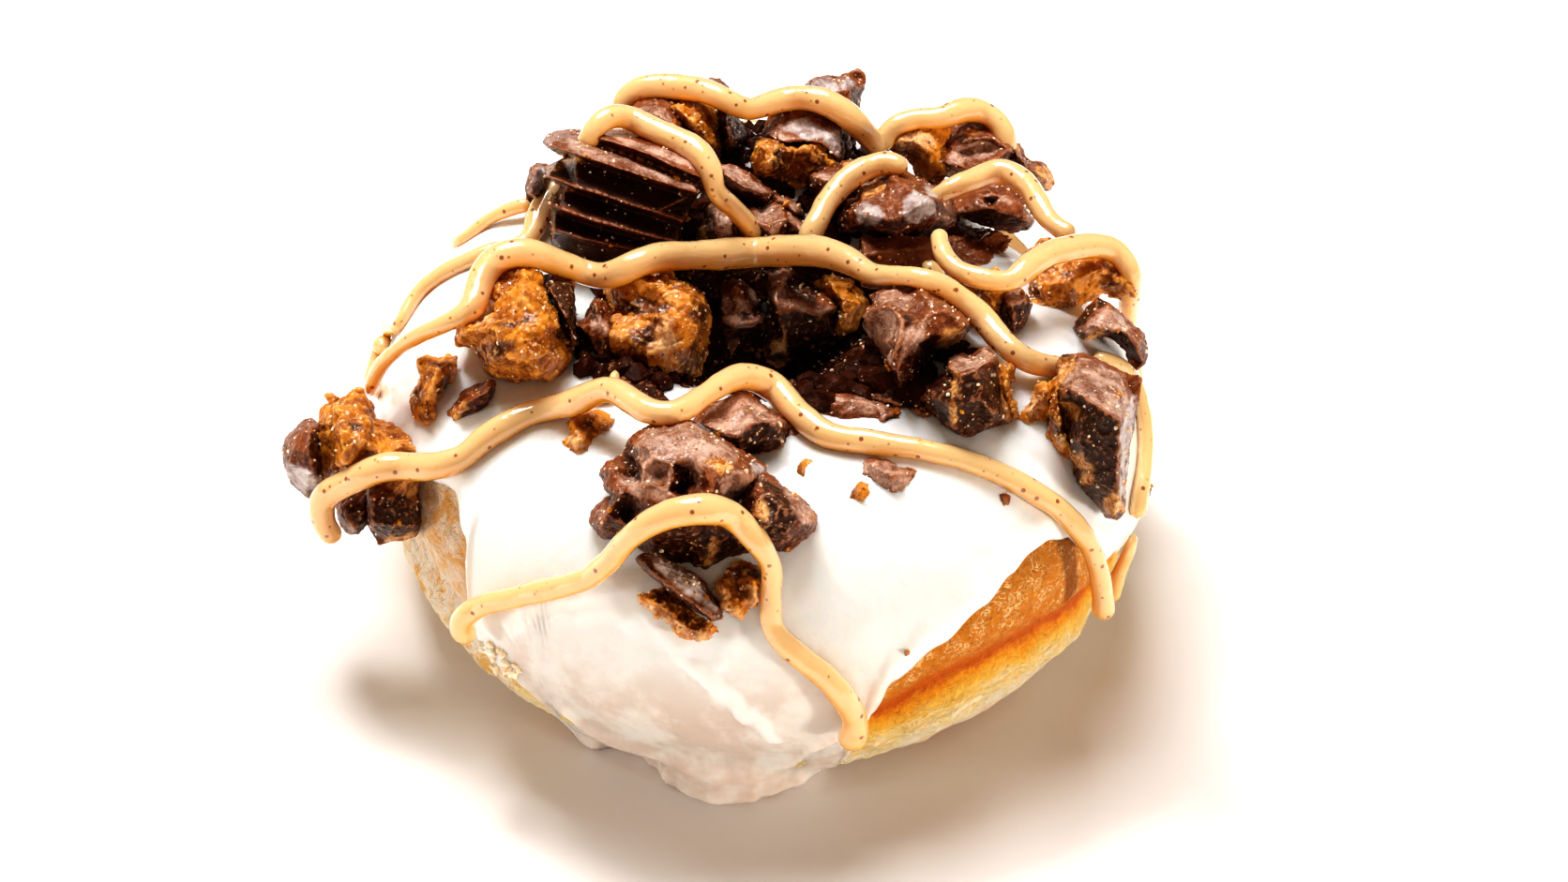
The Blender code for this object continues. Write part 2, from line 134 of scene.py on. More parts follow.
# Where the ring is uneven: azimuth, spread, wider by, higher by
UNEVEN = (
    (38, 30, -2.6, -2.3),
    (-20, 35, -0.3, 0.3),
    (-75, 30, 0.3, 0.4),
    (150, 35, 0.2, -0.3),
)
# The crease's line round the ring, as azimuth and tube angle
CREASE = (
    (-180, -4), (-90, -24), (-74, -18), (-64, -10), (-57.5, -8.5), (-52, -8.5), (-46, -10.5), (-38, -16),
    (-30, -21), (-12, -14), (60, 0), (180, -4),
)
CREASE_DEPTH = 0.9
CREASE_SPREAD = 8.0
LOWER_BULGE = 0.35
LOWER_MIDDLE = 17.0
LOWER_SPREAD = 7.0


class Wire:
    """One output in a node tree. Sums written with it become Math nodes in that tree."""

    def __init__(self, tree, socket):
        self.tree = tree
        self.socket = socket

    def __add__(self, other):
        return self.tree.math("ADD", self, other)

    __radd__ = __add__

    def __sub__(self, other):
        return self.tree.math("SUBTRACT", self, other)

    def __rsub__(self, other):
        return self.tree.math("SUBTRACT", other, self)

    def __mul__(self, other):
        return self.tree.math("MULTIPLY", self, other)

    __rmul__ = __mul__

    def __truediv__(self, other):
        return self.tree.math("DIVIDE", self, other)

    def __rtruediv__(self, other):
        return self.tree.math("DIVIDE", other, self)

    def step(self, low, high):
        """From 0 at low to 1 at high, level at both ends."""
        return self.tree.add(
            "ShaderNodeMapRange",
            {"interpolation_type": "SMOOTHSTEP"},
            {"Value": self, "From Min": low, "From Max": high},
        )


class Tree:
    """A node tree that is written as expressions."""

    def __init__(self, tree):
        self.tree = tree

    def add(self, kind, settings=None, values=None, output=0):
        node = self.tree.nodes.new(kind)
        for name, value in (settings or {}).items():
            if name == "stops":
                self.set_stops(node.color_ramp, value)
            else:
                setattr(node, name, value)
        for name, value in (values or {}).items():
            if isinstance(value, Wire):
                self.tree.links.new(value.socket, node.inputs[name])
            else:
                node.inputs[name].default_value = value
        return Wire(self, node.outputs[output])

    @staticmethod
    def set_stops(ramp, stops):
        """Colours along a ramp, from (position, colour) pairs."""
        while len(ramp.elements) < len(stops):
            ramp.elements.new(0.5)
        for element, (position, colour) in zip(ramp.elements, stops):
            element.position = position
            element.color = (*colour, 1.0)

    def math(self, operation, first, second=0.0):
        return self.add("ShaderNodeMath", {"operation": operation}, {0: first, 1: second})

    def vector(self, operation, first, second):
        return self.add("ShaderNodeVectorMath", {"operation": operation}, {0: first, 1: second})

    def mix(self, share, first, second, blend="MIX"):
        """A blend of two colours."""
        first = first if isinstance(first, Wire) else (*first, 1.0)
        second = second if isinstance(second, Wire) else (*second, 1.0)
        settings = {"data_type": "RGBA", "blend_type": blend}
        return self.add("ShaderNodeMix", settings, {0: share, 6: first, 7: second}, output=2)

    def noise(self, place, size, detail=2.0, roughness=0.5, distortion=0.0):
        """Cloudy noise from 0 to 1, with clouds about a size in millimetres."""
        return self.add(
            "ShaderNodeTexNoise",
            None,
            {
                "Vector": place, "Scale": 1000.0 / size, "Detail": detail,
                "Roughness": roughness, "Distortion": distortion,
            },
        )

    def cells(self, place, size):
        """Crumb-like cells about a size in millimetres: the distance to each one's middle."""
        return self.add("ShaderNodeTexVoronoi", None, {"Vector": place, "Scale": 1000.0 / size})

    def dots(self, place, apart, small, large):
        """Round dots: 1 inside each, softly 0 beyond it, about millimetres apart."""
        return 1.0 - self.cells(place, apart).step(small, large)


class Finish(Tree):
    """A material, with its surface shader and the nodes that feed it."""

    def __init__(self, name, **constants):
        self.material = bpy.data.materials.new(name)
        self.material.use_nodes = True
        super().__init__(self.material.node_tree)
        self.shader = self.tree.nodes["Principled BSDF"]
        for key, value in constants.items():
            self.shader.inputs[key.replace("_", " ")].default_value = value
        self.place = self.add("ShaderNodeTexCoord", output="Object")

    def feed(self, socket, value):
        """Link a wire to a socket of the surface shader."""
        self.tree.links.new(value.socket, self.shader.inputs[socket])

    def attribute(self, name):
        """A number that the mesh carries at each point."""
        return self.add("ShaderNodeAttribute", {"attribute_name": name}, output="Fac")

    def bumps(self, *layers):
        """Bumps of some depth in millimetres, one upon the other, into the normal."""
        normal = None
        for height, depth in layers:
            values = {"Height": height, "Distance": depth * MM, "Strength": 1.0}
            if normal:
                values["Normal"] = normal
            normal = self.add("ShaderNodeBump", None, values)
        self.feed("Normal", normal)


def smooth_step(low, high, value):
    """From 0 at low to 1 at high, level at both ends, for numbers or arrays."""
    share = np.clip((value - low) / (high - low), 0.0, 1.0)
    return share * share * (3.0 - 2.0 * share)


def read_curve(points, azimuth):
    """A height read from points round the ring, smoothed between them."""
    azimuth = np.asarray(azimuth, float)
    result = np.full(azimuth.shape, float(points[0][1]))
    for (start, low), (end, high) in zip(points, points[1:]):
        here = (azimuth >= start) & (azimuth <= end)
        value = low + (high - low) * smooth_step(start, end, azimuth)
        result = np.where(here, value, result)
    return result


def ring_point(azimuth, tube, grow):
    """Radius and height of the ring's rounded section in millimetres, grown outwards."""
    width = np.full(np.shape(azimuth), HALF_WIDTH)
    height = np.full(np.shape(azimuth), HALF_HEIGHT)
    for middle, spread, wider, higher in UNEVEN:
        away = (azimuth - middle + 180.0) % 360.0 - 180.0
        bump = np.exp(-((away / spread) ** 2))
        width = width + wider * bump
        height = height + higher * bump
    side = np.cos(np.radians(tube))
    rise = np.sin(np.radians(tube))
    power = np.where(side > 0, 2.0 / OUTER_FULLNESS, 2.0 / HOLE_FULLNESS)
    out = np.sign(side) * np.abs(side) ** power * (width + grow)
    up = np.sign(rise) * np.abs(rise) ** power * (height + grow)
    under = np.abs((tube + 90.0 + 180.0) % 360.0 - 180.0)
    sink = BASE_SINK * (1.0 - smooth_step(45.0, 70.0, under))
    return RING_RADIUS + out, height + up - sink


def ring_object(name, azimuth, radius, height, **attributes):
    """A closed ring from a grid of radii and heights, one row for each azimuth."""
    rows, columns = radius.shape
    turn = np.radians(azimuth)
    spots = np.stack(
        [radius * np.cos(turn) * MM + RING_AXIS.x, radius * np.sin(turn) * MM + RING_AXIS.y, height * MM],
        axis=-1,
    )
    row, column = np.meshgrid(np.arange(rows), np.arange(columns), indexing="ij")
    next_row = (row + 1) % rows
    next_column = (column + 1) % columns
    quads = np.stack(
        [
            row * columns + column, row * columns + next_column,
            next_row * columns + next_column, next_row * columns + column,
        ],
        axis=-1,
    )
    mesh = bpy.data.meshes.new(name)
    mesh.from_pydata(spots.reshape(-1, 3).tolist(), [], quads.reshape(-1, 4).tolist())
    for key, values in attributes.items():
        mesh.attributes.new(key, "FLOAT", "POINT").data.foreach_set("value", values.ravel())
    mesh.update()
    shape = bmesh.new()
    shape.from_mesh(mesh)
    bmesh.ops.recalc_face_normals(shape, faces=shape.faces)
    shape.to_mesh(mesh)
    shape.free()
    mesh.shade_smooth()
    return new_object(name, mesh)


# Noise vectors start from the clock unless they have a seed
NOISE_SEED = 3
noise.seed_set(NOISE_SEED)


def rough(points, size, seed, octaves=1):
    """Noise from -1 to 1 at points in millimetres, with clouds about a size in millimetres."""
    shift = Vector((seed * 17.3, seed * 5.7, seed * 9.1))
    return np.array(
        [noise.fractal(Vector(point) / size + shift, 0.6, 2.0, octaves) for point in points]
    )


def numbers(rows, key, width=1, kind=float):
    """A value of all points, edges or faces of a mesh, one row for each."""
    values = np.empty(len(rows) * width, kind)
    rows.foreach_get(key, values)
    return values.reshape(-1, width) if width > 1 else values


def normals_of(piece):
    """Which way each of a piece's points faces."""
    return numbers(piece.data.vertex_normals, "vector", 3)


def spots_of(piece):
    """A piece's points in millimetres."""
    return numbers(piece.data.vertices, "co", 3) / MM


def swell(piece, depth):
    """Move a piece's points along their normals by millimetres."""
    mesh = piece.data
    spots = numbers(mesh.vertices, "co", 3) + normals_of(piece) * np.asarray(depth).reshape(-1, 1) * MM
    mesh.vertices.foreach_set("co", spots.ravel())
    mesh.update()


def store(piece, name, values):
    """Store a number at each of a piece's points."""
    piece.data.attributes.new(name, "FLOAT", "POINT").data.foreach_set("value", values)


def settle(piece, finish, slot, *nodes):
    """Give a piece its finish and its place on the doughnut."""
    piece.data.materials.clear()
    piece.data.materials.append(finish.material)
    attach(piece, "root")
    if nodes:
        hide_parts(*nodes)
    return piece


dough_tubes = np.concatenate([np.arange(-82, 56, 1.2), np.arange(56, 278, 7.5)])
azimuths = np.arange(-180, 180, 0.75)
azimuth_grid, tube_grid = np.meshgrid(azimuths, dough_tubes, indexing="ij")
outer = (tube_grid > -91) & (tube_grid < 91)
lower = np.where(outer, 1.0 - smooth_step(-40.0, -5.0, tube_grid), 0.0)
dough_radius, dough_height = ring_point(azimuth_grid, tube_grid, -DOUGH_INSET * (1.0 - 0.8 * lower))
crease_tube = read_curve(CREASE, azimuth_grid)
from_crease = np.where(outer, tube_grid - crease_tube, 90.0)
dough_radius -= CREASE_DEPTH * np.exp(-((from_crease / CREASE_SPREAD) ** 2))
dough_radius += LOWER_BULGE * np.exp(-(((from_crease + LOWER_MIDDLE) / LOWER_SPREAD) ** 2))
dough_height = np.maximum(dough_height, 0.0)
dough = ring_object(
    "fried_dough", azimuth_grid, dough_radius, dough_height, band=from_crease, round=azimuth_grid
)
dough_spots = spots_of(dough)
flaky = np.exp(-(((from_crease.ravel() + 20.0) / 12.0) ** 2))
layers = dough_spots * np.array((0.6, 0.6, 2.4))
lumps = 0.22 * rough(dough_spots, 5.0, 1, 2) + 0.06 * rough(dough_spots, 1.1, 2, 3)
lumps += 0.26 * flaky * rough(layers, 1.6, 4, 3)
swell(dough, lumps * (dough_spots[:, 2] > 0.4))

crust = Finish("fried_crust", Subsurface_Weight=0.12, Subsurface_Scale=0.002)
band = crust.attribute("band")
bearing = crust.attribute("round")
wander = crust.noise(crust.place, 2.6, 3.0, 0.6) - 0.5
fine = crust.noise(crust.place, 0.5, 4.0, 0.7) - 0.5
level = (band + wander * 7.0 + fine * 9.0 + 60.0) / 120.0
bands = crust.add(
    "ShaderNodeValToRGB",
    {
        "stops": (
            (0.05, (0.42, 0.13, 0.015)), (0.12, (0.78, 0.36, 0.11)), (0.17, (0.98, 0.70, 0.46)),
            (0.26, (1.0, 0.77, 0.55)), (0.31, (1.0, 0.86, 0.60)), (0.37, (1.0, 0.78, 0.40)),
            (0.425, (0.98, 0.60, 0.10)), (0.465, (0.90, 0.36, 0.018)), (0.50, (0.62, 0.12, 0.003)),
            (0.53, (0.62, 0.15, 0.005)), (0.575, (0.68, 0.23, 0.012)), (0.66, (0.72, 0.27, 0.020)),
            (0.78, (0.60, 0.24, 0.03)), (0.90, (0.40, 0.12, 0.01)),
        )
    },
    {"Fac": level},
)
fuzz = crust.noise(crust.place, 0.55, 5.0, 0.75, 1.5)
fibres = crust.noise(crust.place, 4 / 3, 2.0, 0.55, 3.0)
above = band.step(2.0, 14.0)
ridge = crust.math("ABSOLUTE", fibres - 0.5)
patchy = crust.noise(crust.place, 1.4, 2.0).step(0.38, 0.58)
thread = (1.0 - ridge.step(0.0, 0.07)) * above * wander.step(-0.14, 0.04) * patchy
# Thin sheets that run round the ring below the crease, from its bearing and band
across_sheets = crust.add("ShaderNodeCombineXYZ", None, {"X": bearing * 0.2, "Y": band * 0.55})
sheets = crust.noise(across_sheets, 1000.0, 4.0, 0.65, 0.6)
below = (1.0 - band.step(-18.0, -5.0)) * bearing.step(-100.0, -85.0)
lighter = crust.mix(1.0, bands, (1.2, 1.3, 1.35), "MULTIPLY")
toned = crust.mix(fuzz.step(0.35, 0.7) * 0.4, bands, lighter)
dark_pits = (1.0 - fuzz.step(0.30, 0.48)) * above * 0.75
toned = crust.mix(dark_pits, toned, (0.30, 0.08, 0.006))
toned = crust.mix(thread, toned, (1.0, 0.74, 0.38))
toned = crust.mix((1.0 - sheets.step(0.36, 0.46)) * below * 0.45, toned, (0.98, 0.60, 0.20))
toned = crust.mix(sheets.step(0.50, 0.56) * below * 0.8, toned, (1.0, 0.91, 0.72))
film = crust.noise(crust.place, 3.0, 4.0, 0.6, 1.2).step(0.42, 0.58)
# At the left the icing has run thin over a creamy, patchy side
film = film * (1.0 - bearing.step(-142.0, -132.0)) * band.step(-8.0, 6.0) * 0.7
left = (bearing + wander * 30.0).step(-176.0, -158.0) * (1.0 - bearing.step(-136.0, -126.0))
blot = crust.noise(crust.place, 2.2, 5.0, 0.65, 0.8)
creamy = crust.mix(blot.step(0.38, 0.54), (0.92, 0.52, 0.14), (1.0, 0.89, 0.74))
golden = (band + wander * 30.0).step(4.0, 24.0) * blot.step(0.36, 0.52)
creamy = crust.mix(golden * 0.85, creamy, (0.80, 0.40, 0.07))
toned = crust.mix(left * 0.9, toned, creamy)
crust.feed("Base Color", crust.mix(film, toned, (0.93, 0.80, 0.66)))
crust.feed("Roughness", 0.62 - film * 0.45)
crust.bumps(
    (crust.noise(crust.place, 1.2, 4.0, 0.65), 0.5), (fibres, 0.25), (fuzz, 0.25),
    (sheets.step(0.40, 0.60) * below, 0.10),
)
settle(dough, crust, "dough", "dough_ring")


# The icing, of sugar and water: dipped on while warm, so that it runs over the top, hangs down
# the front as a thick skirt that reaches the table, and ends in a rounded lip everywhere else.
# Its edge is given as azimuth and tube angle, the skirt's foot as azimuth and radius, and the
# rim above the foot as azimuth and height.
ICING_THICKNESS = 1.0
ICING_EDGE = (
    (-180, -6), (-165, 8), (-150, 36), (-144, 40.5), (-137.3, 27.9), (-135.2, 9.4), (-134.4, -4.2),
    (-132.6, -12), (-128.5, -16), (-125.2, -23), (-123.4, -32), (-119.5, -66), (-116, -76),
    (-84, -76), (-80, -58), (-77.6, -30), (-76.5, -15.5), (-75.2, -5.7), (-72.8, 3.8), (-66, 12.6),
    (-58.5, 20.2), (-53.1, 26.7), (-49.1, 30.1), (-45.3, 30.2), (-41.7, 26.5), (-37, 16), (-32.3, 2.3),
    (-27.4, -1), (-22.6, -2.1), (-10, -7), (10, 4), (38, -14), (66, 2), (95, -18), (120, -2),
    (145, -20), (180, -6),
)
ICING_HOLE_EDGE = 205.0
SKIRT_FOOT = (
    (-180, 28.6), (-128, 28.8), (-126.4, 29.6), (-123.5, 29.9), (-119, 29.6), (-116, 28.6), (-112, 28.4),
    (-108, 29.4), (-105, 30.8), (-100.5, 31.8), (-97.7, 32.2), (-92, 31.8), (-90, 31.1), (-85, 30.1),
    (-81.7, 29.0), (-79.6, 27.8), (-77.6, 26.8), (180, 28.6),
)
SKIRT_RIM = (
    (-180, 12), (-126, 9.7), (-122.5, 8.4), (-119.7, 7.0), (-116, 4.9), (-112.9, 4.3), (-103.6, 3.9),
    (-91.8, 3.7), (-86.6, 4.6), (-82.9, 7.8), (-78, 10), (180, 12),
)
LIP_POINTS = 9
LIP_REACH = 2.3
EDGE_UNEVENNESS = 2.2
OUTER_POINTS, INNER_POINTS = 120, 34
BEAD_HEIGHT = 0.32
BEAD_MIDDLE, BEAD_WIDTH = 5.5, 4.5
RIM_HEIGHT, RIM_GROOVE = 0.55, 0.25
RIM_WIDTH, GROOVE_BELOW = 0.8, 1.7
azimuths = np.arange(-180, 180, 0.72)
edge_line = read_curve(ICING_EDGE, azimuths)
edge_noise = np.array([noise.fractal(Vector((a * 0.12, 3.1, 0.0)), 0.6, 2.0, 3) for a in azimuths])
calm = 1.0 - 0.8 * ((azimuths > -116) & (azimuths < -40))
edge_line = edge_line + EDGE_UNEVENNESS * edge_noise * calm
outer_share = np.linspace(0.0, 1.0, OUTER_POINTS) ** 0.8
inner_share = np.linspace(1.0, 0.0, INNER_POINTS)
# Each section goes from the hole out to the edge, round the lip, back inside, and round the
# hole's lip. Its points have a tube angle, a height over the ring and a share from outside in.
sections = []
for edge in edge_line:
    tubes = ICING_HOLE_EDGE + (edge - ICING_HOLE_EDGE) * outer_share
    near_edge = tubes - edge
    free_edge = 1.0 - smooth_step(-20.0, -60.0, np.full_like(tubes, edge))
    bead = BEAD_HEIGHT * np.exp(-(((near_edge - BEAD_MIDDLE) / BEAD_WIDTH) ** 2)) * free_edge
    rounding = np.pi * np.arange(1, LIP_POINTS) / LIP_POINTS
    lip_tube = edge - LIP_REACH * np.sin(rounding)
    lip_grow = -0.5 + 0.5 * np.cos(rounding)
    back = ICING_HOLE_EDGE + (edge - ICING_HOLE_EDGE) * inner_share
    low = 1.0 - smooth_step(-40.0, -5.0, back)
    hole_tube = ICING_HOLE_EDGE + LIP_REACH * np.sin(rounding)
    hole_grow = -0.5 - 0.5 * np.cos(rounding)
    sections.append(
        (
            np.concatenate([tubes, lip_tube, back, hole_tube]),
            np.concatenate([bead, lip_grow, -ICING_THICKNESS * (1.0 - 0.5 * low), hole_grow]),
            np.concatenate(
                [np.zeros_like(tubes), rounding / np.pi, np.ones_like(back), 1 - rounding / np.pi]
            ),
        )
    )
tube_grid, grow_grid, inside_grid = (np.array(part) for part in zip(*sections))
azimuth_grid = np.repeat(azimuths[:, None], tube_grid.shape[1], axis=1)
icing_radius, icing_height = ring_point(azimuth_grid, tube_grid, grow_grid)
in_skirt = smooth_step(-126, -119.5, azimuth_grid) * (1.0 - smooth_step(-80.5, -76.5, azimuth_grid))
hang = in_skirt * (1.0 - smooth_step(1.5, 6.5, icing_height)) * (tube_grid < 90)
foot = read_curve(SKIRT_FOOT, azimuth_grid) - 1.8 * inside_grid
rounded_foot = 0.7 * (1.0 - smooth_step(0.0, 1.6, icing_height)) * (1.0 - inside_grid)
icing_radius += (np.maximum(icing_radius, foot) - rounded_foot - icing_radius) * hang
above_rim = icing_height - read_curve(SKIRT_RIM, azimuth_grid)
rim_bead = RIM_HEIGHT * np.exp(-((above_rim / RIM_WIDTH) ** 2))
rim_bead -= RIM_GROOVE * np.exp(-(((above_rim + GROOVE_BELOW) / RIM_WIDTH) ** 2))
icing_radius += rim_bead * in_skirt * (1.0 - inside_grid) * (tube_grid < 90)
icing_height = np.maximum(icing_height - 0.6 * hang, 0.0)
icing = ring_object(
    "white_icing", azimuth_grid, icing_radius, icing_height, tube=tube_grid, round=azimuth_grid
)
icing_spots = spots_of(icing)
clear_of_table = smooth_step(0.3, 2.0, icing_spots[:, 2])
swell(icing, (0.16 * rough(icing_spots, 7.0, 3) + 0.05 * rough(icing_spots, 2.2, 4)) * clear_of_table)

# Folds where the skirt's set skin has wrinkled: points as azimuth and tube angle, width, height
FOLDS = (
    (
        ((-106.3, 28.4), (-102.1, 22.1), (-99.4, 12.2), (-96.0, 6.0), (-92.3, -3.0), (-88.6, -13.0)),
        0.75, 0.36,
    ),
    (((-94.5, 26.0), (-94.5, 19.7), (-96.5, 11.0)), 0.45, 0.22),
    (((-127.0, 6.0), (-119.1, 22.6), (-111.7, 27.5), (-105.5, 31.0)), 0.8, 0.30),
)
MM_PER_AZIMUTH, MM_PER_TUBE = 0.57, 0.23
STRAY_AZIMUTH, STRAY_TUBE = 1.6, 5.0


def fold_height(azimuth, tube):
    """How high the folds stand at points of the ring, in millimetres."""
    height = np.zeros(azimuth.shape)
    for points, width, tall in FOLDS:
        nearest = np.full(azimuth.shape, 1e9)
        for (az0, tube0), (az1, tube1) in zip(points, points[1:]):
            along = np.array([(az1 - az0) * MM_PER_AZIMUTH, (tube1 - tube0) * MM_PER_TUBE])
            east = (azimuth - az0) * MM_PER_AZIMUTH
            north = (tube - tube0) * MM_PER_TUBE
            share = np.clip((east * along[0] + north * along[1]) / (along @ along), 0.0, 1.0)
            nearest = np.minimum(nearest, np.hypot(east - share * along[0], north - share * along[1]))
        height = np.maximum(height, tall * np.exp(-((nearest / width) ** 2)))
    return height


outer_face = inside_grid.ravel() < 0.01
at_azimuth, at_tube = azimuth_grid.ravel(), tube_grid.ravel()
stray = np.array(
    [noise.noise_vector(Vector((a / 2.5, t / 7.0, 0.0))) for a, t in zip(at_azimuth, at_tube)]
)
folds = fold_height(at_azimuth + STRAY_AZIMUTH * stray[:, 0], at_tube + STRAY_TUBE * stray[:, 1])
folds *= outer_face
swell(icing, folds)
store(icing, "fold", folds)

glaze = Finish(
    "sugar_icing", Subsurface_Weight=0.55, Subsurface_Radius=(1.0, 0.62, 0.42), Subsurface_Scale=0.0022,
    IOR=1.45, Coat_Weight=0.25, Coat_Roughness=0.06,
)
tube = glaze.attribute("tube")
fold = glaze.attribute("fold")
cloud = glaze.noise(glaze.place, 6.0, 3.0, 0.55)
streak = glaze.noise(glaze.place, 2.0, 4.0, 0.6)
bearing = glaze.attribute("round")
# On the front skirt the icing is greyish beige: partly a thin, clear skin over the dough, partly painted
# shade.
thin = (1.0 - tube.step(-12.0, 30.0)) * bearing.step(-134.0, -124.0)
thin = thin * (1.0 - bearing.step(-78.0, -70.0))
body = glaze.mix(cloud.step(0.3, 0.7) * 0.5, (0.93, 0.915, 0.90), (0.95, 0.94, 0.93))
clouded = (cloud * 0.6 + streak * 0.4).step(0.40, 0.60)
thin_skin_and_shade = glaze.mix(clouded, (0.66, 0.55, 0.48), (0.82, 0.75, 0.70))
toned = glaze.mix(thin, body, thin_skin_and_shade)
folded = (fold * 3.0 + (streak - 0.5) * 0.8).step(0.12, 0.7) * 0.8
glaze.feed("Base Color", glaze.mix(folded, toned, (0.94, 0.92, 0.90)))
glaze.feed("Roughness", 0.08 + streak * 0.16)
glaze.bumps((glaze.noise(glaze.place, 3.5, 2.0), 0.25), (glaze.noise(glaze.place, 0.9, 3.0), 0.05))
settle(icing, glaze, "icing", "icing")
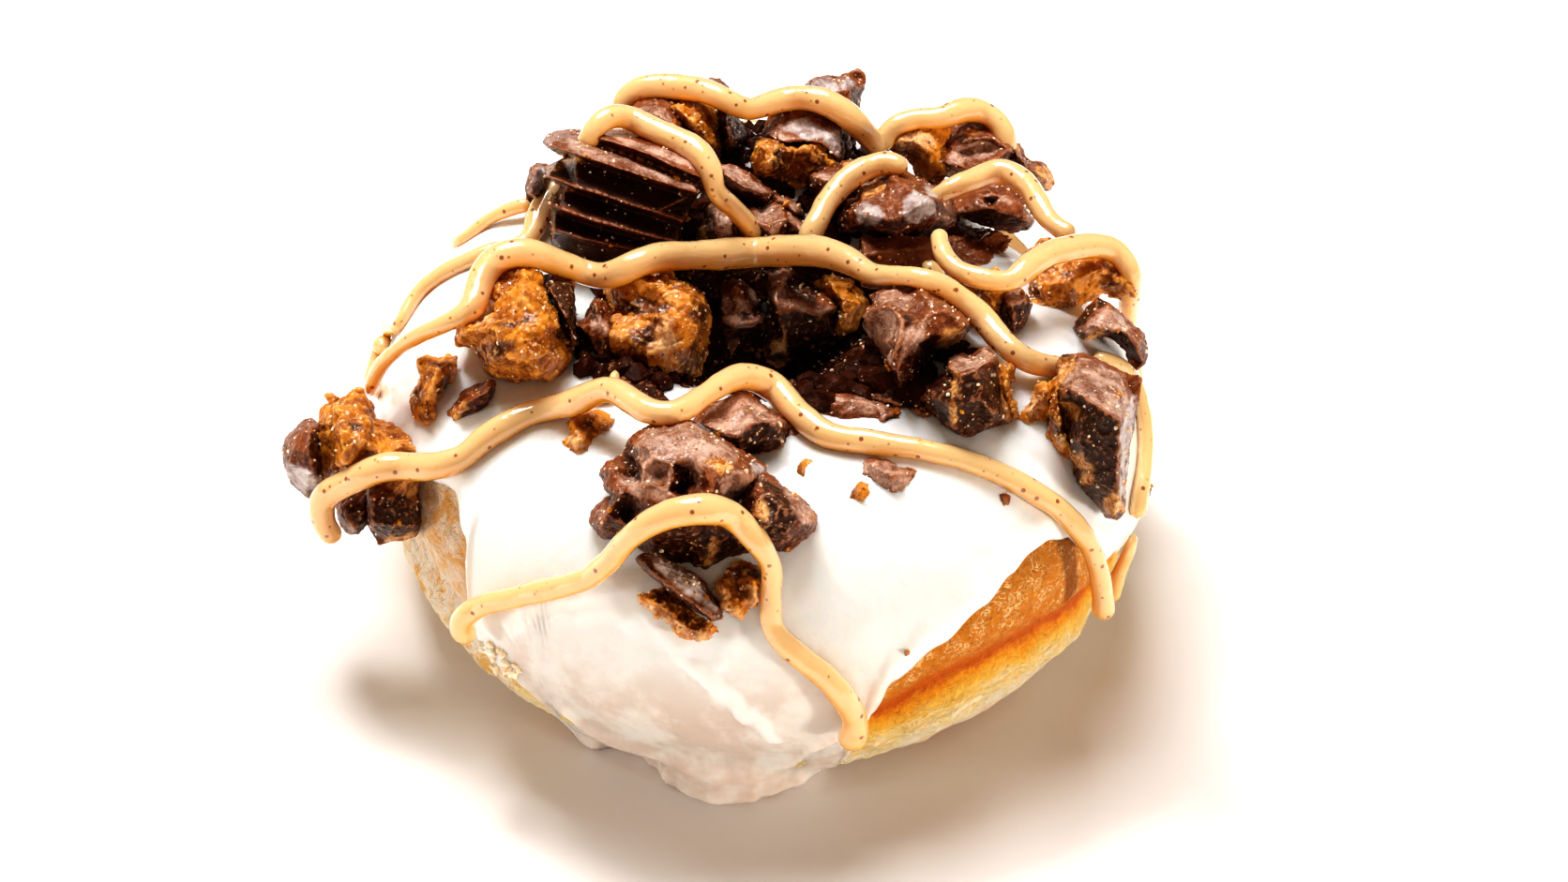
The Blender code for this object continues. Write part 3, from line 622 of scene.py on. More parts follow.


# The broken peanut butter cups: chips and lumps of milk chocolate, snapped and chopped, with
# sharp breaks, painted highlights on their edges and smears of filling on them, pressed into the wet icing.
# Each has its seen outline and the crests on it, in pixels, and its patches of each other tone.
# A crest's third number is how near it comes, from 0 at the imported solid's back to 1 at its front.
CHUNK_VOXEL = 0.15
CHUNK_RIM = 0.8
BACK_SHARE = 0.8
NEAREST_RIM = 0.15
PRESSED_IN = 0.3
LYING_RIM = 0.1
LYING_BACK = 0.7
CHUNKS = {
    "left_cup_chocolate": (
        ((333, 446), (322, 449), (314, 459), (304, 466), (301, 480), (302, 493), (306, 506), (313, 518),
         (323, 527), (333, 534), (343, 523), (352, 510), (352, 480), (345, 455)),
        (((318, 462, 0.6), (312, 480, 0.8), (308, 494, 0.7)),
         ((330, 460, 0.9), (330, 480, 1.0), (332, 500, 0.9))),
        {"shine": (((303, 494), (320, 499), (346, 512), (338, 528), (330, 532), (314, 520), (305, 507)),),
         "dark": (((316, 500), (330, 512), (338, 520), (333, 522), (322, 512)),
                  ((309, 507), (320, 518), (328, 528), (320, 524), (311, 515)))},
    ),
    "left_lower_block": (
        ((390, 516), (406, 504), (430, 498), (446, 504), (448, 530), (450, 555), (446, 569), (434, 576),
         (420, 578), (410, 580), (403, 581), (397, 569), (391, 556)),
        (((396, 534, 0.9), (420, 532, 1.0), (440, 540, 0.9)),
         ((398, 558, 0.9), (420, 562, 1.0), (440, 562, 0.8))),
        {"dark": (((394, 533), (430, 525), (446, 545), (447, 566), (420, 572), (404, 572), (393, 556)),),
         "filling": (((408, 578), (416, 572), (445, 569), (436, 578), (418, 583)),
                     ((398, 512), (420, 500), (446, 504), (446, 534), (430, 528), (414, 520)))},
    ),
    "left_lower_shard": (
        ((358, 540), (372, 522), (392, 512), (398, 545), (390, 563), (383, 570), (372, 572), (364, 562)),
        (((368, 550, 0.8), (378, 566, 0.8)), ((390, 545, 0.9),)),
        {"dark": (((370, 545), (392, 532), (390, 560), (384, 568), (374, 552)),),
         "pale": (((366, 556), (372, 554), (380, 568), (372, 571)),)},
    ),
    "left_flake": (
        ((474, 451), (478, 438), (487, 428), (491, 418), (504, 411), (515, 410), (520, 404), (528, 407),
         (527, 421), (521, 434), (510, 441), (497, 446), (484, 451)),
        (((490, 436, 0.8), (508, 424, 1.0), (520, 416, 0.9)),),
        {"filling": (((478, 440), (495, 430), (500, 438), (484, 449)),)},
    ),
    "row_a_chocolate": (
        ((572, 294), (590, 290), (612, 300), (613, 345), (621, 370), (632, 378), (620, 383), (606, 372),
         (598, 355), (590, 330)),
        (((588, 310, 0.6), (604, 340, 0.8), (612, 366, 0.7)),),
        {"dark": (((574, 294), (613, 300), (612, 346), (618, 366), (606, 372), (590, 330)),)},
    ),
    "row_b_chocolate": (
        ((635, 316), (648, 320), (656, 335), (660, 360), (655, 380), (645, 396), (632, 392), (619, 390),
         (616, 381), (628, 376), (620, 362), (612, 348), (622, 340), (628, 326)),
        (((634, 324, 0.8), (638, 345, 1.0), (646, 356, 1.0), (640, 380, 0.8)),
         ((618, 348, 0.7), (632, 362, 0.9))),
        {"pale": (((630, 335), (642, 338), (652, 352), (644, 358), (630, 348)),),
         "dark": (((620, 352), (634, 364), (645, 362), (642, 378), (630, 374)),),
         "filling": (((618, 380), (634, 377), (636, 390), (620, 389)),)},
    ),
    "row_c_chocolate": (
        ((765, 297), (778, 294), (795, 296), (812, 303), (813, 320), (812, 333), (818, 339), (814, 348),
         (800, 353), (790, 358), (786, 367), (780, 379), (772, 364), (761, 360), (760, 348), (766, 333)),
        (((768, 318, 0.6), (772, 342, 0.9), (784, 348, 1.0), (812, 341, 0.9)),
         ((784, 302, 0.7), (784, 328, 0.8), (800, 332, 0.8))),
        {"pale": (((769, 315), (779, 315), (783, 330), (789, 340), (789, 350), (777, 348), (770, 336)),
                  ((783, 320), (797, 318), (799, 306), (808, 309), (806, 326), (797, 334), (786, 332)),
                  ((789, 342), (812, 334), (817, 340), (805, 348), (788, 351))),
         "dark": (((786, 334), (798, 336), (812, 330), (810, 335), (790, 341)),)},
    ),
    "row_d_chocolate": (
        ((818, 284), (830, 280), (842, 282), (849, 289), (860, 297), (876, 305), (890, 315), (900, 335),
         (905, 352), (895, 362), (872, 367), (856, 376), (842, 388), (830, 394), (818, 388), (814, 372),
         (814, 350), (818, 330), (816, 312), (820, 300)),
        (((822, 300, 0.7), (828, 322, 1.0), (850, 326, 1.0), (874, 338, 1.0), (888, 330, 0.9)),
         ((838, 292, 0.9), (836, 304, 0.9), (842, 312, 0.7)),
         ((862, 312, 0.6),),
         ((836, 360, 0.9), (870, 352, 0.8))),
        {"pale": (((818, 284), (842, 281), (850, 289), (842, 296), (834, 302), (838, 312), (830, 324),
                   (818, 320), (823, 305), (817, 294)),
                  ((838, 314), (850, 320), (868, 330), (884, 326), (886, 333), (866, 338), (846, 328),
                   (828, 326))),
         "dark": (((846, 293), (864, 300), (874, 312), (868, 326), (848, 316), (838, 305)),
                  ((820, 332), (848, 334), (880, 342), (904, 350), (872, 366), (842, 386), (818, 384))),
         "filling": (((818, 366), (836, 362), (840, 374), (824, 380)),)},
    ),
    "row_e_chocolate": (
        ((928, 325), (926, 314), (936, 309), (948, 308), (960, 304), (976, 301), (991, 303), (1002, 313),
         (1016, 326), (1031, 338), (1038, 347), (1030, 355), (1023, 366), (1010, 374), (998, 374),
         (992, 384), (984, 397), (975, 409), (961, 418), (953, 411), (947, 395), (939, 378), (929, 361),
         (919, 347)),
        (((928, 330, 0.6), (950, 327, 0.8), (962, 342, 1.0), (958, 368, 1.1), (951, 392, 1.0)),
         ((986, 341, 0.9), (976, 364, 1.0), (958, 398, 1.0)),
         ((968, 332, 0.7),),
         ((988, 318, 0.7), (1010, 330, 0.8), (1026, 348, 0.7), (1004, 358, 0.8)),
         ((972, 396, 0.8),)),
        {"pale": (((924, 330), (950, 327), (960, 336), (966, 350), (957, 370), (949, 390), (935, 368),
                   (921, 348)),
                  ((986, 339), (992, 342), (984, 362), (974, 376), (958, 388), (962, 366), (968, 350)),
                  ((936, 312), (960, 308), (972, 316), (980, 324), (966, 330), (948, 324), (930, 326))),
         "dark": (((992, 364), (1004, 372), (990, 388), (978, 404), (963, 416), (970, 396), (978, 376)),
                  ((966, 352), (972, 344), (972, 336), (962, 336))),
         "filling": (((1004, 353), (1024, 350), (1032, 353), (1022, 366), (1008, 372), (998, 372)),)},
    ),
    "row_f_chocolate": (
        ((1011, 382), (1024, 377), (1036, 379), (1043, 371), (1054, 367), (1060, 378), (1065, 391),
         (1070, 404), (1076, 420), (1085, 438), (1089, 449), (1076, 452), (1062, 457), (1046, 461),
         (1029, 468), (1015, 459), (1000, 450), (989, 440), (977, 425), (985, 411), (1000, 403),
         (1010, 398)),
        (((1012, 393, 0.8), (1024, 399, 1.0), (1042, 395, 1.0), (1058, 382, 0.8)),
         ((1022, 408, 1.0), (1018, 434, 1.0), (1018, 456, 0.7)),
         ((1046, 424, 1.0), (1060, 440, 0.8)),
         ((1000, 425, 0.8),)),
        {"pale": (((1012, 381), (1026, 378), (1036, 386), (1050, 370), (1056, 372), (1058, 382),
                   (1044, 392), (1028, 398), (1014, 393)),),
         "dark": (((1012, 400), (1044, 396), (1062, 398), (1070, 420), (1076, 440), (1040, 456),
                   (1010, 450), (985, 428), (998, 410)),),
         "filling": (((1064, 392), (1074, 414), (1088, 446), (1074, 450), (1068, 424)),
                     ((1016, 396), (1022, 400), (1018, 424), (1020, 452), (1013, 456), (1014, 424)))},
    ),
    "hole_shard": (
        ((857, 425), (870, 421), (888, 420), (906, 420), (926, 424), (946, 430), (964, 436), (972, 444),
         (965, 453), (950, 456), (934, 451), (919, 448), (900, 451), (886, 447), (870, 441), (861, 434)),
        (((866, 428, 0.5), (890, 431, 0.9), (903, 446, 1.0)),
         ((905, 426, 0.7), (935, 434, 0.9), (948, 440, 1.0), (940, 450, 0.9))),
        {"pale": (((880, 424), (920, 424), (945, 433), (943, 440), (910, 442), (898, 434)),),
         "dark": (((942, 440), (964, 438), (966, 448), (944, 452)),)},
    ),
    "right_lump_chocolate": (
        ((1064, 306), (1076, 303), (1087, 306), (1096, 315), (1099, 326), (1097, 339), (1091, 350),
         (1083, 357), (1075, 350), (1068, 340), (1064, 322)),
        (((1072, 322, 0.9), (1080, 328, 1.0), (1092, 320, 0.8)), ((1082, 345, 0.8),)),
        {"pale": (((1073, 306), (1086, 308), (1096, 318), (1086, 326), (1074, 328), (1078, 318)),),
         "dark": (((1074, 329), (1088, 325), (1097, 322), (1095, 340), (1083, 355), (1070, 342)),)},
    ),
    "right_curved_chocolate": (
        ((1143, 351), (1149, 340), (1160, 327), (1171, 317), (1179, 321), (1190, 327), (1200, 337),
         (1210, 348), (1219, 353), (1223, 365), (1225, 378), (1219, 390), (1213, 396), (1207, 390),
         (1203, 378), (1196, 368), (1184, 360), (1172, 358), (1160, 364), (1154, 366), (1147, 359)),
        (((1156, 350, 0.9), (1168, 338, 0.8), (1182, 328, 0.7)),
         ((1176, 352, 1.0), (1196, 352, 0.9), (1212, 370, 0.9))),
        {"dark": (((1146, 346), (1160, 327), (1171, 318), (1181, 323), (1168, 331), (1160, 340),
                   (1152, 350)),
                  ((1178, 354), (1190, 352), (1196, 362), (1184, 360))),
         "pale": (((1154, 350), (1166, 336), (1180, 328), (1196, 338), (1206, 350), (1190, 354),
                   (1172, 350), (1158, 358)),),
         "filling": (((1152, 364), (1166, 354), (1178, 351), (1176, 358), (1160, 365)),)},
    ),
    "tall_block_chocolate": (
        ((1127, 400), (1126, 387), (1133, 378), (1152, 376), (1166, 380), (1181, 388), (1200, 396),
         (1215, 400), (1218, 406), (1214, 430), (1210, 452), (1205, 476), (1201, 500), (1201, 528),
         (1199, 546), (1192, 556), (1180, 553), (1171, 541), (1160, 531), (1148, 519), (1142, 506),
         (1143, 495), (1135, 480), (1128, 460), (1124, 440), (1128, 425)),
        (((1129, 424, 0.6), (1142, 416, 0.8), (1160, 425, 0.95), (1180, 440, 1.05), (1195, 449, 1.1)),
         ((1194, 470, 1.0), (1192, 500, 0.85), (1191, 530, 0.7), (1188, 546, 0.5)),
         ((1150, 470, 0.8), (1165, 510, 0.7))),
        {"pale": (((1136, 402), (1146, 384), (1156, 381), (1176, 390), (1196, 402), (1204, 424),
                   (1196, 446), (1180, 437), (1160, 423), (1143, 414), (1133, 412)),),
         "dark": (((1131, 426), (1143, 419), (1160, 427), (1192, 451), (1189, 545), (1162, 528),
                   (1144, 500), (1132, 462)),),
         "filling": (((1126, 428), (1136, 430), (1142, 428), (1151, 436), (1149, 449), (1138, 446),
                      (1136, 462), (1129, 458)),
                     ((1140, 496), (1150, 482), (1154, 482), (1158, 492), (1165, 497), (1163, 502),
                      (1152, 500)),
                     ((1151, 504), (1164, 506), (1165, 516), (1154, 518)),
                     ((1130, 462), (1140, 474), (1146, 492), (1140, 492), (1132, 478)),
                     ((1127, 400), (1128, 386), (1146, 378), (1147, 392), (1136, 402), (1132, 414)),
                     ((1177, 532), (1188, 526), (1198, 532), (1199, 545), (1188, 551), (1178, 548))),
         "shine": (((1198, 446), (1206, 424), (1212, 418), (1208, 450), (1202, 490), (1199, 530),
                    (1194, 530), (1195, 470)),)},
    ),
    "front_left_chocolate": (
        ((684, 458), (700, 452), (724, 451), (738, 448), (748, 457), (762, 464), (776, 472), (788, 480),
         (802, 487), (817, 498), (815, 508), (806, 520), (806, 545), (812, 575), (800, 592), (776, 598),
         (752, 610), (722, 600), (692, 592), (676, 582), (660, 577), (645, 578), (633, 566), (628, 556),
         (632, 545), (641, 534), (652, 529), (644, 519), (639, 506), (647, 491), (664, 484), (668, 472)),
        (((664, 484, 0.5), (652, 500, 0.6), (645, 520, 0.6)),
         ((690, 462, 0.5), (684, 476, 0.8)),
         ((676, 484, 0.4), (679, 498, 0.3), (680, 511, 0.35)),
         ((688, 516, 1.0), (686, 500, 0.95), (697, 490, 0.9), (715, 496, 0.95), (719, 512, 1.05),
          (711, 523, 1.0)),
         ((702, 506, 0.72),),
         ((726, 524, 0.6), (732, 512, 0.6)),
         ((710, 466, 0.7), (730, 462, 0.75), (750, 468, 0.8), (770, 480, 0.85), (795, 494, 0.8)),
         ((738, 490, 0.95), (750, 500, 1.1), (758, 522, 1.1)),
         ((772, 502, 1.0), (790, 506, 1.0), (804, 510, 0.8)),
         ((790, 528, 0.6), (775, 534, 0.7)),
         ((660, 529, 0.9), (672, 524, 0.9)),
         ((648, 550, 0.75), (640, 560, 0.6)),
         ((668, 545, 0.45), (672, 562, 0.5)),
         ((700, 546, 1.0), (735, 538, 1.05)),
         ((700, 572, 0.7), (740, 576, 0.65), (780, 570, 0.6))),
        {"pale": (((690, 456), (738, 449), (762, 464), (790, 482), (780, 500), (750, 496), (745, 520),
                   (735, 500), (718, 492), (716, 512), (700, 505), (690, 498), (678, 500), (674, 478)),
                  ((684, 500), (700, 498), (716, 510), (714, 530), (700, 535), (680, 530), (664, 518),
                   (660, 506), (672, 510)),
                  ((766, 512), (790, 502), (806, 506), (800, 520), (786, 532), (768, 528))),
         "shine": (((800, 490), (816, 498), (814, 506), (802, 504)),),
         "filling": (((750, 490), (770, 488), (782, 496), (772, 508), (762, 500)),
                     ((760, 572), (768, 576), (756, 604), (750, 606))),
         "dark": (((668, 474), (680, 478), (684, 500), (682, 514), (674, 508), (664, 494)),
                  ((722, 514), (734, 504), (738, 516), (728, 528)),
                  ((776, 524), (800, 520), (800, 536), (778, 538)),
                  ((690, 592), (704, 574), (740, 566), (780, 568), (808, 590), (786, 596), (752, 610),
                   (722, 602)),
                  ((648, 530), (662, 532), (668, 548), (676, 566), (660, 572), (650, 556)))},
    ),
    "front_right_chocolate": (
        ((796, 510), (808, 502), (818, 503), (832, 514), (846, 524), (860, 534), (867, 544), (873, 553),
         (869, 566), (858, 576), (848, 584), (840, 592), (828, 590), (818, 584), (805, 576), (795, 562),
         (788, 545), (788, 525)),
        (((808, 515, 0.6), (824, 532, 0.9), (848, 545, 0.9), (866, 556, 0.6)),
         ((802, 540, 0.9), (812, 560, 1.0), (838, 570, 0.8))),
        {"dark": (((812, 510), (832, 520), (850, 550), (845, 570), (820, 575), (808, 560), (818, 540)),),
         "pale": (((836, 520), (852, 530), (868, 548), (866, 562), (852, 556), (842, 540)),),
         "filling": (((806, 534), (814, 534), (822, 546), (816, 556), (808, 552)),)},
    ),
    "front_rear_chocolate": (
        ((738, 449), (748, 438), (760, 430), (772, 424), (786, 418), (803, 418), (812, 430), (826, 440),
         (842, 451), (856, 464), (852, 473), (834, 479), (812, 487), (792, 486), (782, 479), (770, 472),
         (752, 462)),
        (((752, 452, 0.9), (772, 462, 1.0), (786, 466, 1.0), (806, 452, 0.95), (830, 450, 0.9)),
         ((790, 430, 0.5),),
         ((815, 472, 0.6),)),
        {"pale": (((742, 450), (762, 432), (786, 422), (804, 428), (830, 446), (846, 458), (820, 452),
                   (800, 452), (786, 466), (768, 464), (752, 460)),),
         "dark": (((783, 477), (790, 466), (804, 454), (818, 452), (842, 462), (850, 470), (822, 481),
                   (798, 485)),)},
    ),
    "front_slab": (
        ((676, 596), (688, 588), (704, 593), (722, 603), (742, 611), (752, 622), (759, 636), (771, 648),
         (770, 660), (760, 664), (746, 656), (727, 642), (707, 624), (690, 613)),
        (((684, 600, 0.9), (706, 618, 1.0), (728, 636, 1.0), (758, 658, 0.9)),
         ((704, 600, 0.7), (736, 622, 0.8), (762, 648, 0.7))),
        {"shine": (((690, 590), (720, 604), (742, 613), (756, 634), (768, 650), (756, 652), (738, 638),
                    (716, 620), (698, 604)),),
         "dark": (((684, 592), (700, 606), (714, 620), (706, 618), (688, 606)),)},
    ),
    "left_plate": (
        ((565, 179), (572, 174), (582, 175), (590, 186), (588, 205), (574, 216), (563, 223), (560, 206),
         (562, 190)),
        (((570, 182, 0.8), (568, 205, 1.0)),),
        {"shine": (((572, 178), (582, 178), (578, 200), (568, 210)),)},
    ),
    "back_left_chocolate": (
        ((662, 124), (666, 106), (684, 94), (706, 92), (724, 100), (734, 118), (738, 140), (735, 165),
         (712, 155), (688, 138)),
        (((680, 118, 0.7), (704, 124, 1.0), (722, 140, 1.0)),),
        {"pale": (((672, 118), (690, 112), (710, 116), (722, 136), (704, 132), (684, 124)),)},
    ),
    "back_left_dark": (
        ((749, 85), (757, 81), (768, 83), (776, 89), (780, 104), (786, 122), (797, 146), (792, 162),
         (776, 168), (764, 160), (758, 130), (752, 105)),
        (((764, 92, 0.7), (772, 120, 1.0), (778, 150, 1.0)),),
        {"dark": (((758, 110), (786, 112), (797, 146), (790, 165), (766, 162)),)},
    ),
    "back_mid_chocolate": (
        ((812, 148), (818, 126), (828, 108), (846, 104), (866, 106), (886, 114), (904, 128), (908, 156),
         (901, 174), (893, 177), (886, 170), (872, 160), (850, 156), (832, 156), (820, 154)),
        (((820, 146, 0.8), (836, 150, 1.0), (860, 150, 1.0), (876, 152, 1.0), (892, 168, 0.9)),
         ((836, 130, 0.5), (868, 134, 0.6), (890, 142, 0.6))),
        {"shine": (((833, 138), (842, 126), (862, 128), (880, 138), (878, 146), (860, 150), (848, 142)),
                   ((880, 138), (896, 138), (898, 170), (888, 160), (876, 148))),
         "pale": (((818, 142), (826, 126), (836, 122), (832, 140), (850, 152), (826, 152)),),
         "dark": (((896, 136), (904, 140), (904, 165), (898, 172)),)},
    ),
    "back_spike": (
        ((852, 100), (860, 88), (870, 82), (882, 80), (892, 81), (905, 76), (916, 72), (923, 80), (922, 91),
         (919, 101), (917, 114), (921, 130), (900, 125), (880, 118), (862, 110)),
        (((870, 88, 0.9), (880, 100, 1.0)), ((898, 84, 0.8), (906, 96, 1.0), (908, 115, 0.9))),
        {"shine": (((856, 98), (866, 86), (882, 82), (892, 88), (896, 98), (880, 104), (862, 102)),
                   ((896, 88), (904, 82), (912, 88), (906, 94), (898, 96))),
         "dark": (((908, 94), (920, 90), (917, 114), (920, 128), (908, 118)),)},
    ),
    "back_slab": (
        ((764, 174), (778, 173), (791, 181), (804, 188), (816, 197), (826, 204), (833, 209), (846, 213),
         (854, 221), (859, 229), (846, 234), (830, 228), (820, 220), (810, 218), (798, 212), (786, 208),
         (774, 201), (766, 190)),
        (((774, 186, 0.8), (796, 200, 1.0), (814, 208, 1.0)), ((832, 214, 0.8), (848, 226, 0.9))),
        {"pale": (((768, 176), (790, 182), (816, 200), (822, 208), (806, 206), (790, 203), (774, 198)),
                  ((826, 208), (846, 215), (854, 226), (838, 224)))},
    ),
    "back_small_left": (
        ((755, 218), (764, 214), (776, 216), (783, 224), (787, 238), (788, 262), (770, 268), (750, 264),
         (741, 256), (742, 245), (748, 239), (751, 228)),
        (((762, 224, 0.7), (762, 245, 1.0), (765, 258, 1.0)), ((778, 232, 0.8), (780, 250, 0.8))),
        {"pale": (((756, 220), (774, 218), (780, 236), (780, 258), (756, 258), (754, 236)),),
         "filling": (((742, 246), (751, 240), (754, 258), (744, 262)),)},
    ),
    "back_small_middle": (
        ((795, 229), (799, 220), (812, 222), (820, 217), (830, 215), (843, 222), (853, 232), (863, 241),
         (873, 250), (878, 262), (850, 266), (820, 264), (802, 258), (796, 242)),
        (((802, 226, 0.7), (812, 240, 1.0), (822, 254, 1.0)),
         ((830, 220, 0.6), (838, 234, 1.0), (862, 252, 0.8))),
        {"pale": (((802, 226), (820, 219), (832, 220), (838, 236), (826, 252), (812, 242)),
                  ((838, 224), (860, 242), (868, 250), (846, 246), (840, 236)))},
    ),
    "back_small_right": (
        ((862, 186), (870, 181), (882, 178), (893, 179), (898, 172), (910, 170), (924, 170), (926, 178),
         (906, 192), (890, 206), (880, 214), (868, 212), (864, 198)),
        (((868, 188, 0.9), (884, 192, 1.0), (900, 184, 0.9)), ((878, 204, 0.7),)),
        {"pale": (((864, 188), (882, 181), (896, 184), (884, 196), (874, 192), (868, 200)),),
         "filling": (((898, 174), (922, 172), (906, 186)),)},
    ),
    "glossy_block": (
        ((884, 250), (892, 238), (899, 224), (904, 213), (914, 212), (919, 197), (932, 190), (944, 187),
         (952, 181), (962, 179), (974, 185), (986, 190), (1000, 199), (1012, 208), (1019, 221), (1021, 234),
         (1012, 243), (1000, 248), (988, 252), (980, 260), (964, 259), (946, 257), (930, 252), (916, 248),
         (900, 250)),
        (((902, 226, 0.5), (905, 244, 0.5)),
         ((920, 216, 0.7), (926, 230, 1.0), (934, 244, 0.8)),
         ((952, 190, 0.5), (945, 212, 0.7), (950, 236, 0.95), (955, 250, 0.8)),
         ((976, 204, 0.8), (982, 218, 1.05), (980, 238, 0.9)),
         ((1000, 212, 0.8), (1004, 232, 0.7))),
        {"shine": (((913, 222), (922, 216), (936, 219), (942, 230), (936, 240), (922, 241), (913, 233)),
                   ((963, 214), (974, 203), (986, 208), (1000, 216), (998, 227), (986, 231), (978, 239),
                    (968, 236), (964, 226)),
                   ((986, 194), (998, 200), (1002, 212), (992, 210), (986, 202))),
         "filling": (((915, 211), (920, 196), (932, 192), (944, 196), (943, 204), (932, 208)),),
         "pale": (((1002, 203), (1012, 210), (1020, 222), (1020, 234), (1006, 240), (1008, 222)),),
         "dark": (((912, 242), (940, 248), (970, 252), (966, 258), (940, 256), (918, 249)),)},
    ),
    "back_right_slab": (
        ((997, 178), (996, 160), (1004, 142), (1014, 128), (1034, 120), (1052, 124), (1070, 134),
         (1083, 147), (1088, 158), (1092, 170), (1084, 180), (1060, 184), (1040, 186), (1018, 190),
         (1002, 188)),
        (((1002, 172, 0.9), (1016, 158, 0.9), (1034, 148, 0.8), (1060, 148, 0.8), (1076, 160, 0.9),
          (1062, 172, 1.0), (1030, 178, 1.1)),
         ((1030, 164, 0.55), (1056, 160, 0.55))),
        {"pale": (((1010, 168), (1022, 156), (1042, 151), (1066, 156), (1058, 166), (1034, 172),
                   (1014, 178)),),
         "dark": (((1018, 156), (1028, 146), (1054, 146), (1066, 152), (1044, 150), (1026, 154)),),
         "filling": (((1020, 143), (1034, 136), (1050, 142), (1032, 144)),
                     ((1000, 180), (1030, 180), (1026, 188), (1002, 188)))},
    ),
    "back_right_tip": (
        ((1078, 150), (1087, 154), (1092, 166), (1100, 172), (1112, 173), (1121, 184), (1126, 196),
         (1120, 204), (1110, 203), (1102, 194), (1090, 190), (1078, 176)),
        (((1086, 166, 0.8), (1100, 182, 1.0), (1116, 192, 1.0)),),
        {"filling": (((1104, 178), (1116, 178), (1126, 194), (1118, 203), (1108, 200)),
                     ((1078, 150), (1088, 154), (1088, 164), (1080, 160)))},
    ),
    "back_right_under": (
        ((1010, 222), (1012, 204), (1030, 195), (1052, 188), (1074, 189), (1090, 202), (1099, 220),
         (1106, 236), (1098, 244), (1078, 249), (1060, 244), (1040, 238), (1024, 232)),
        (((1018, 222, 0.7), (1044, 212, 0.9), (1072, 208, 0.9), (1090, 222, 0.9)),
         ((1020, 228, 0.9), (1056, 222, 1.1), (1094, 234, 0.9)),
         ((1056, 216, 0.5),)),
        {"dark": (((1022, 226), (1056, 224), (1090, 230), (1102, 240), (1060, 242), (1030, 236)),
                  ((1032, 217), (1056, 214), (1074, 216), (1052, 219))),
         "pale": (((1040, 208), (1056, 206), (1084, 214), (1078, 218), (1052, 212)),)},
    ),
    "fluted_cup_side": (
        ((578, 152), (583, 143), (594, 139), (608, 137), (622, 138), (634, 141), (642, 137), (660, 138),
         (700, 142), (740, 160), (756, 175), (753, 190), (750, 203), (744, 208), (736, 220), (732, 236),
         (727, 248), (727, 262), (720, 275), (690, 285), (650, 290), (620, 285), (598, 276), (588, 262),
         (586, 246), (587, 224), (581, 214), (592, 207), (598, 198), (580, 190), (582, 177), (598, 170),
         (612, 165), (598, 161), (584, 158)),
        (((636, 141, 0.5), (668, 148, 0.6), (702, 157, 0.7), (736, 172, 0.7), (751, 185, 0.6)),
         ((642, 148, 0.7), (668, 156, 0.8), (690, 164, 0.85), (717, 177, 0.9), (750, 190, 0.75)),
         ((628, 152, 0.45), (660, 162, 0.5), (694, 174, 0.5), (724, 184, 0.5), (746, 194, 0.5)),
         ((590, 150, 0.6), (622, 156, 0.8), (660, 169, 0.85), (700, 184, 0.85), (740, 199, 0.75)),
         ((586, 156, 0.75), (612, 164, 0.95), (640, 173, 1.0), (664, 181, 1.0), (701, 193, 1.0),
          (744, 206, 0.85)),
         ((614, 168, 0.55), (664, 185, 0.55), (701, 198, 0.55), (736, 209, 0.5)),
         ((584, 188, 0.8), (614, 200, 0.9), (640, 207, 0.9), (668, 217, 0.9), (700, 227, 0.85),
          (728, 236, 0.7)),
         ((602, 201, 0.5), (640, 212, 0.5), (668, 222, 0.5), (700, 232, 0.5), (724, 241, 0.4)),
         ((584, 216, 0.8), (600, 224, 0.85), (626, 233, 0.85), (660, 243, 0.85), (700, 254, 0.75),
          (722, 258, 0.6)),
         ((592, 226, 0.45), (626, 238, 0.45), (660, 248, 0.45), (700, 259, 0.4)),
         ((590, 247, 0.75), (606, 249, 0.75), (622, 255, 0.75), (642, 259, 0.7), (680, 268, 0.6)),
         ((594, 252, 0.4), (622, 260, 0.4), (645, 264, 0.4))),
        {"dark": (((600, 170), (640, 178), (664, 186), (701, 199), (742, 211), (734, 232), (700, 224),
                   (668, 214), (640, 204), (614, 197), (586, 188), (590, 178)),
                  ((598, 202), (640, 212), (668, 222), (700, 232), (728, 240), (722, 256), (700, 251),
                   (660, 240), (626, 230), (600, 220)),
                  ((588, 224), (626, 238), (660, 248), (700, 259), (724, 262), (700, 268), (645, 257),
                   (622, 252), (590, 245)),
                  ((590, 250), (622, 259), (645, 264), (690, 268), (690, 282), (650, 288), (600, 274))),
         "filling": (((598, 171), (612, 166), (620, 169), (604, 176), (590, 184), (586, 178)),),
         "pale": (((646, 140), (668, 147), (702, 156), (736, 170), (750, 184), (738, 180), (717, 172),
                   (690, 162), (660, 150)),
                  ((606, 148), (630, 156), (664, 168), (700, 182), (742, 199), (742, 204), (700, 190),
                   (664, 177), (634, 168), (606, 160)))},
    ),
}
FOOT_NODE = "glossy_block_foot"
FOOT_GROW = 0.5


def fine_piece(name, shape):
    """An object in small even faces from a closed shape."""
    bmesh.ops.recalc_face_normals(shape, faces=shape.faces)
    mesh = bpy.data.meshes.new(name)
    shape.to_mesh(mesh)
    shape.free()
    piece = new_object(name, mesh)
    even_faces = piece.modifiers.new("even_faces", "REMESH")
    even_faces.mode = "VOXEL"
    even_faces.voxel_size = CHUNK_VOXEL * MM
    even = bpy.data.meshes.new_from_object(piece.evaluated_get(bpy.context.evaluated_depsgraph_get()))
    piece.modifiers.clear()
    even.name = name
    piece.data = even
    return piece


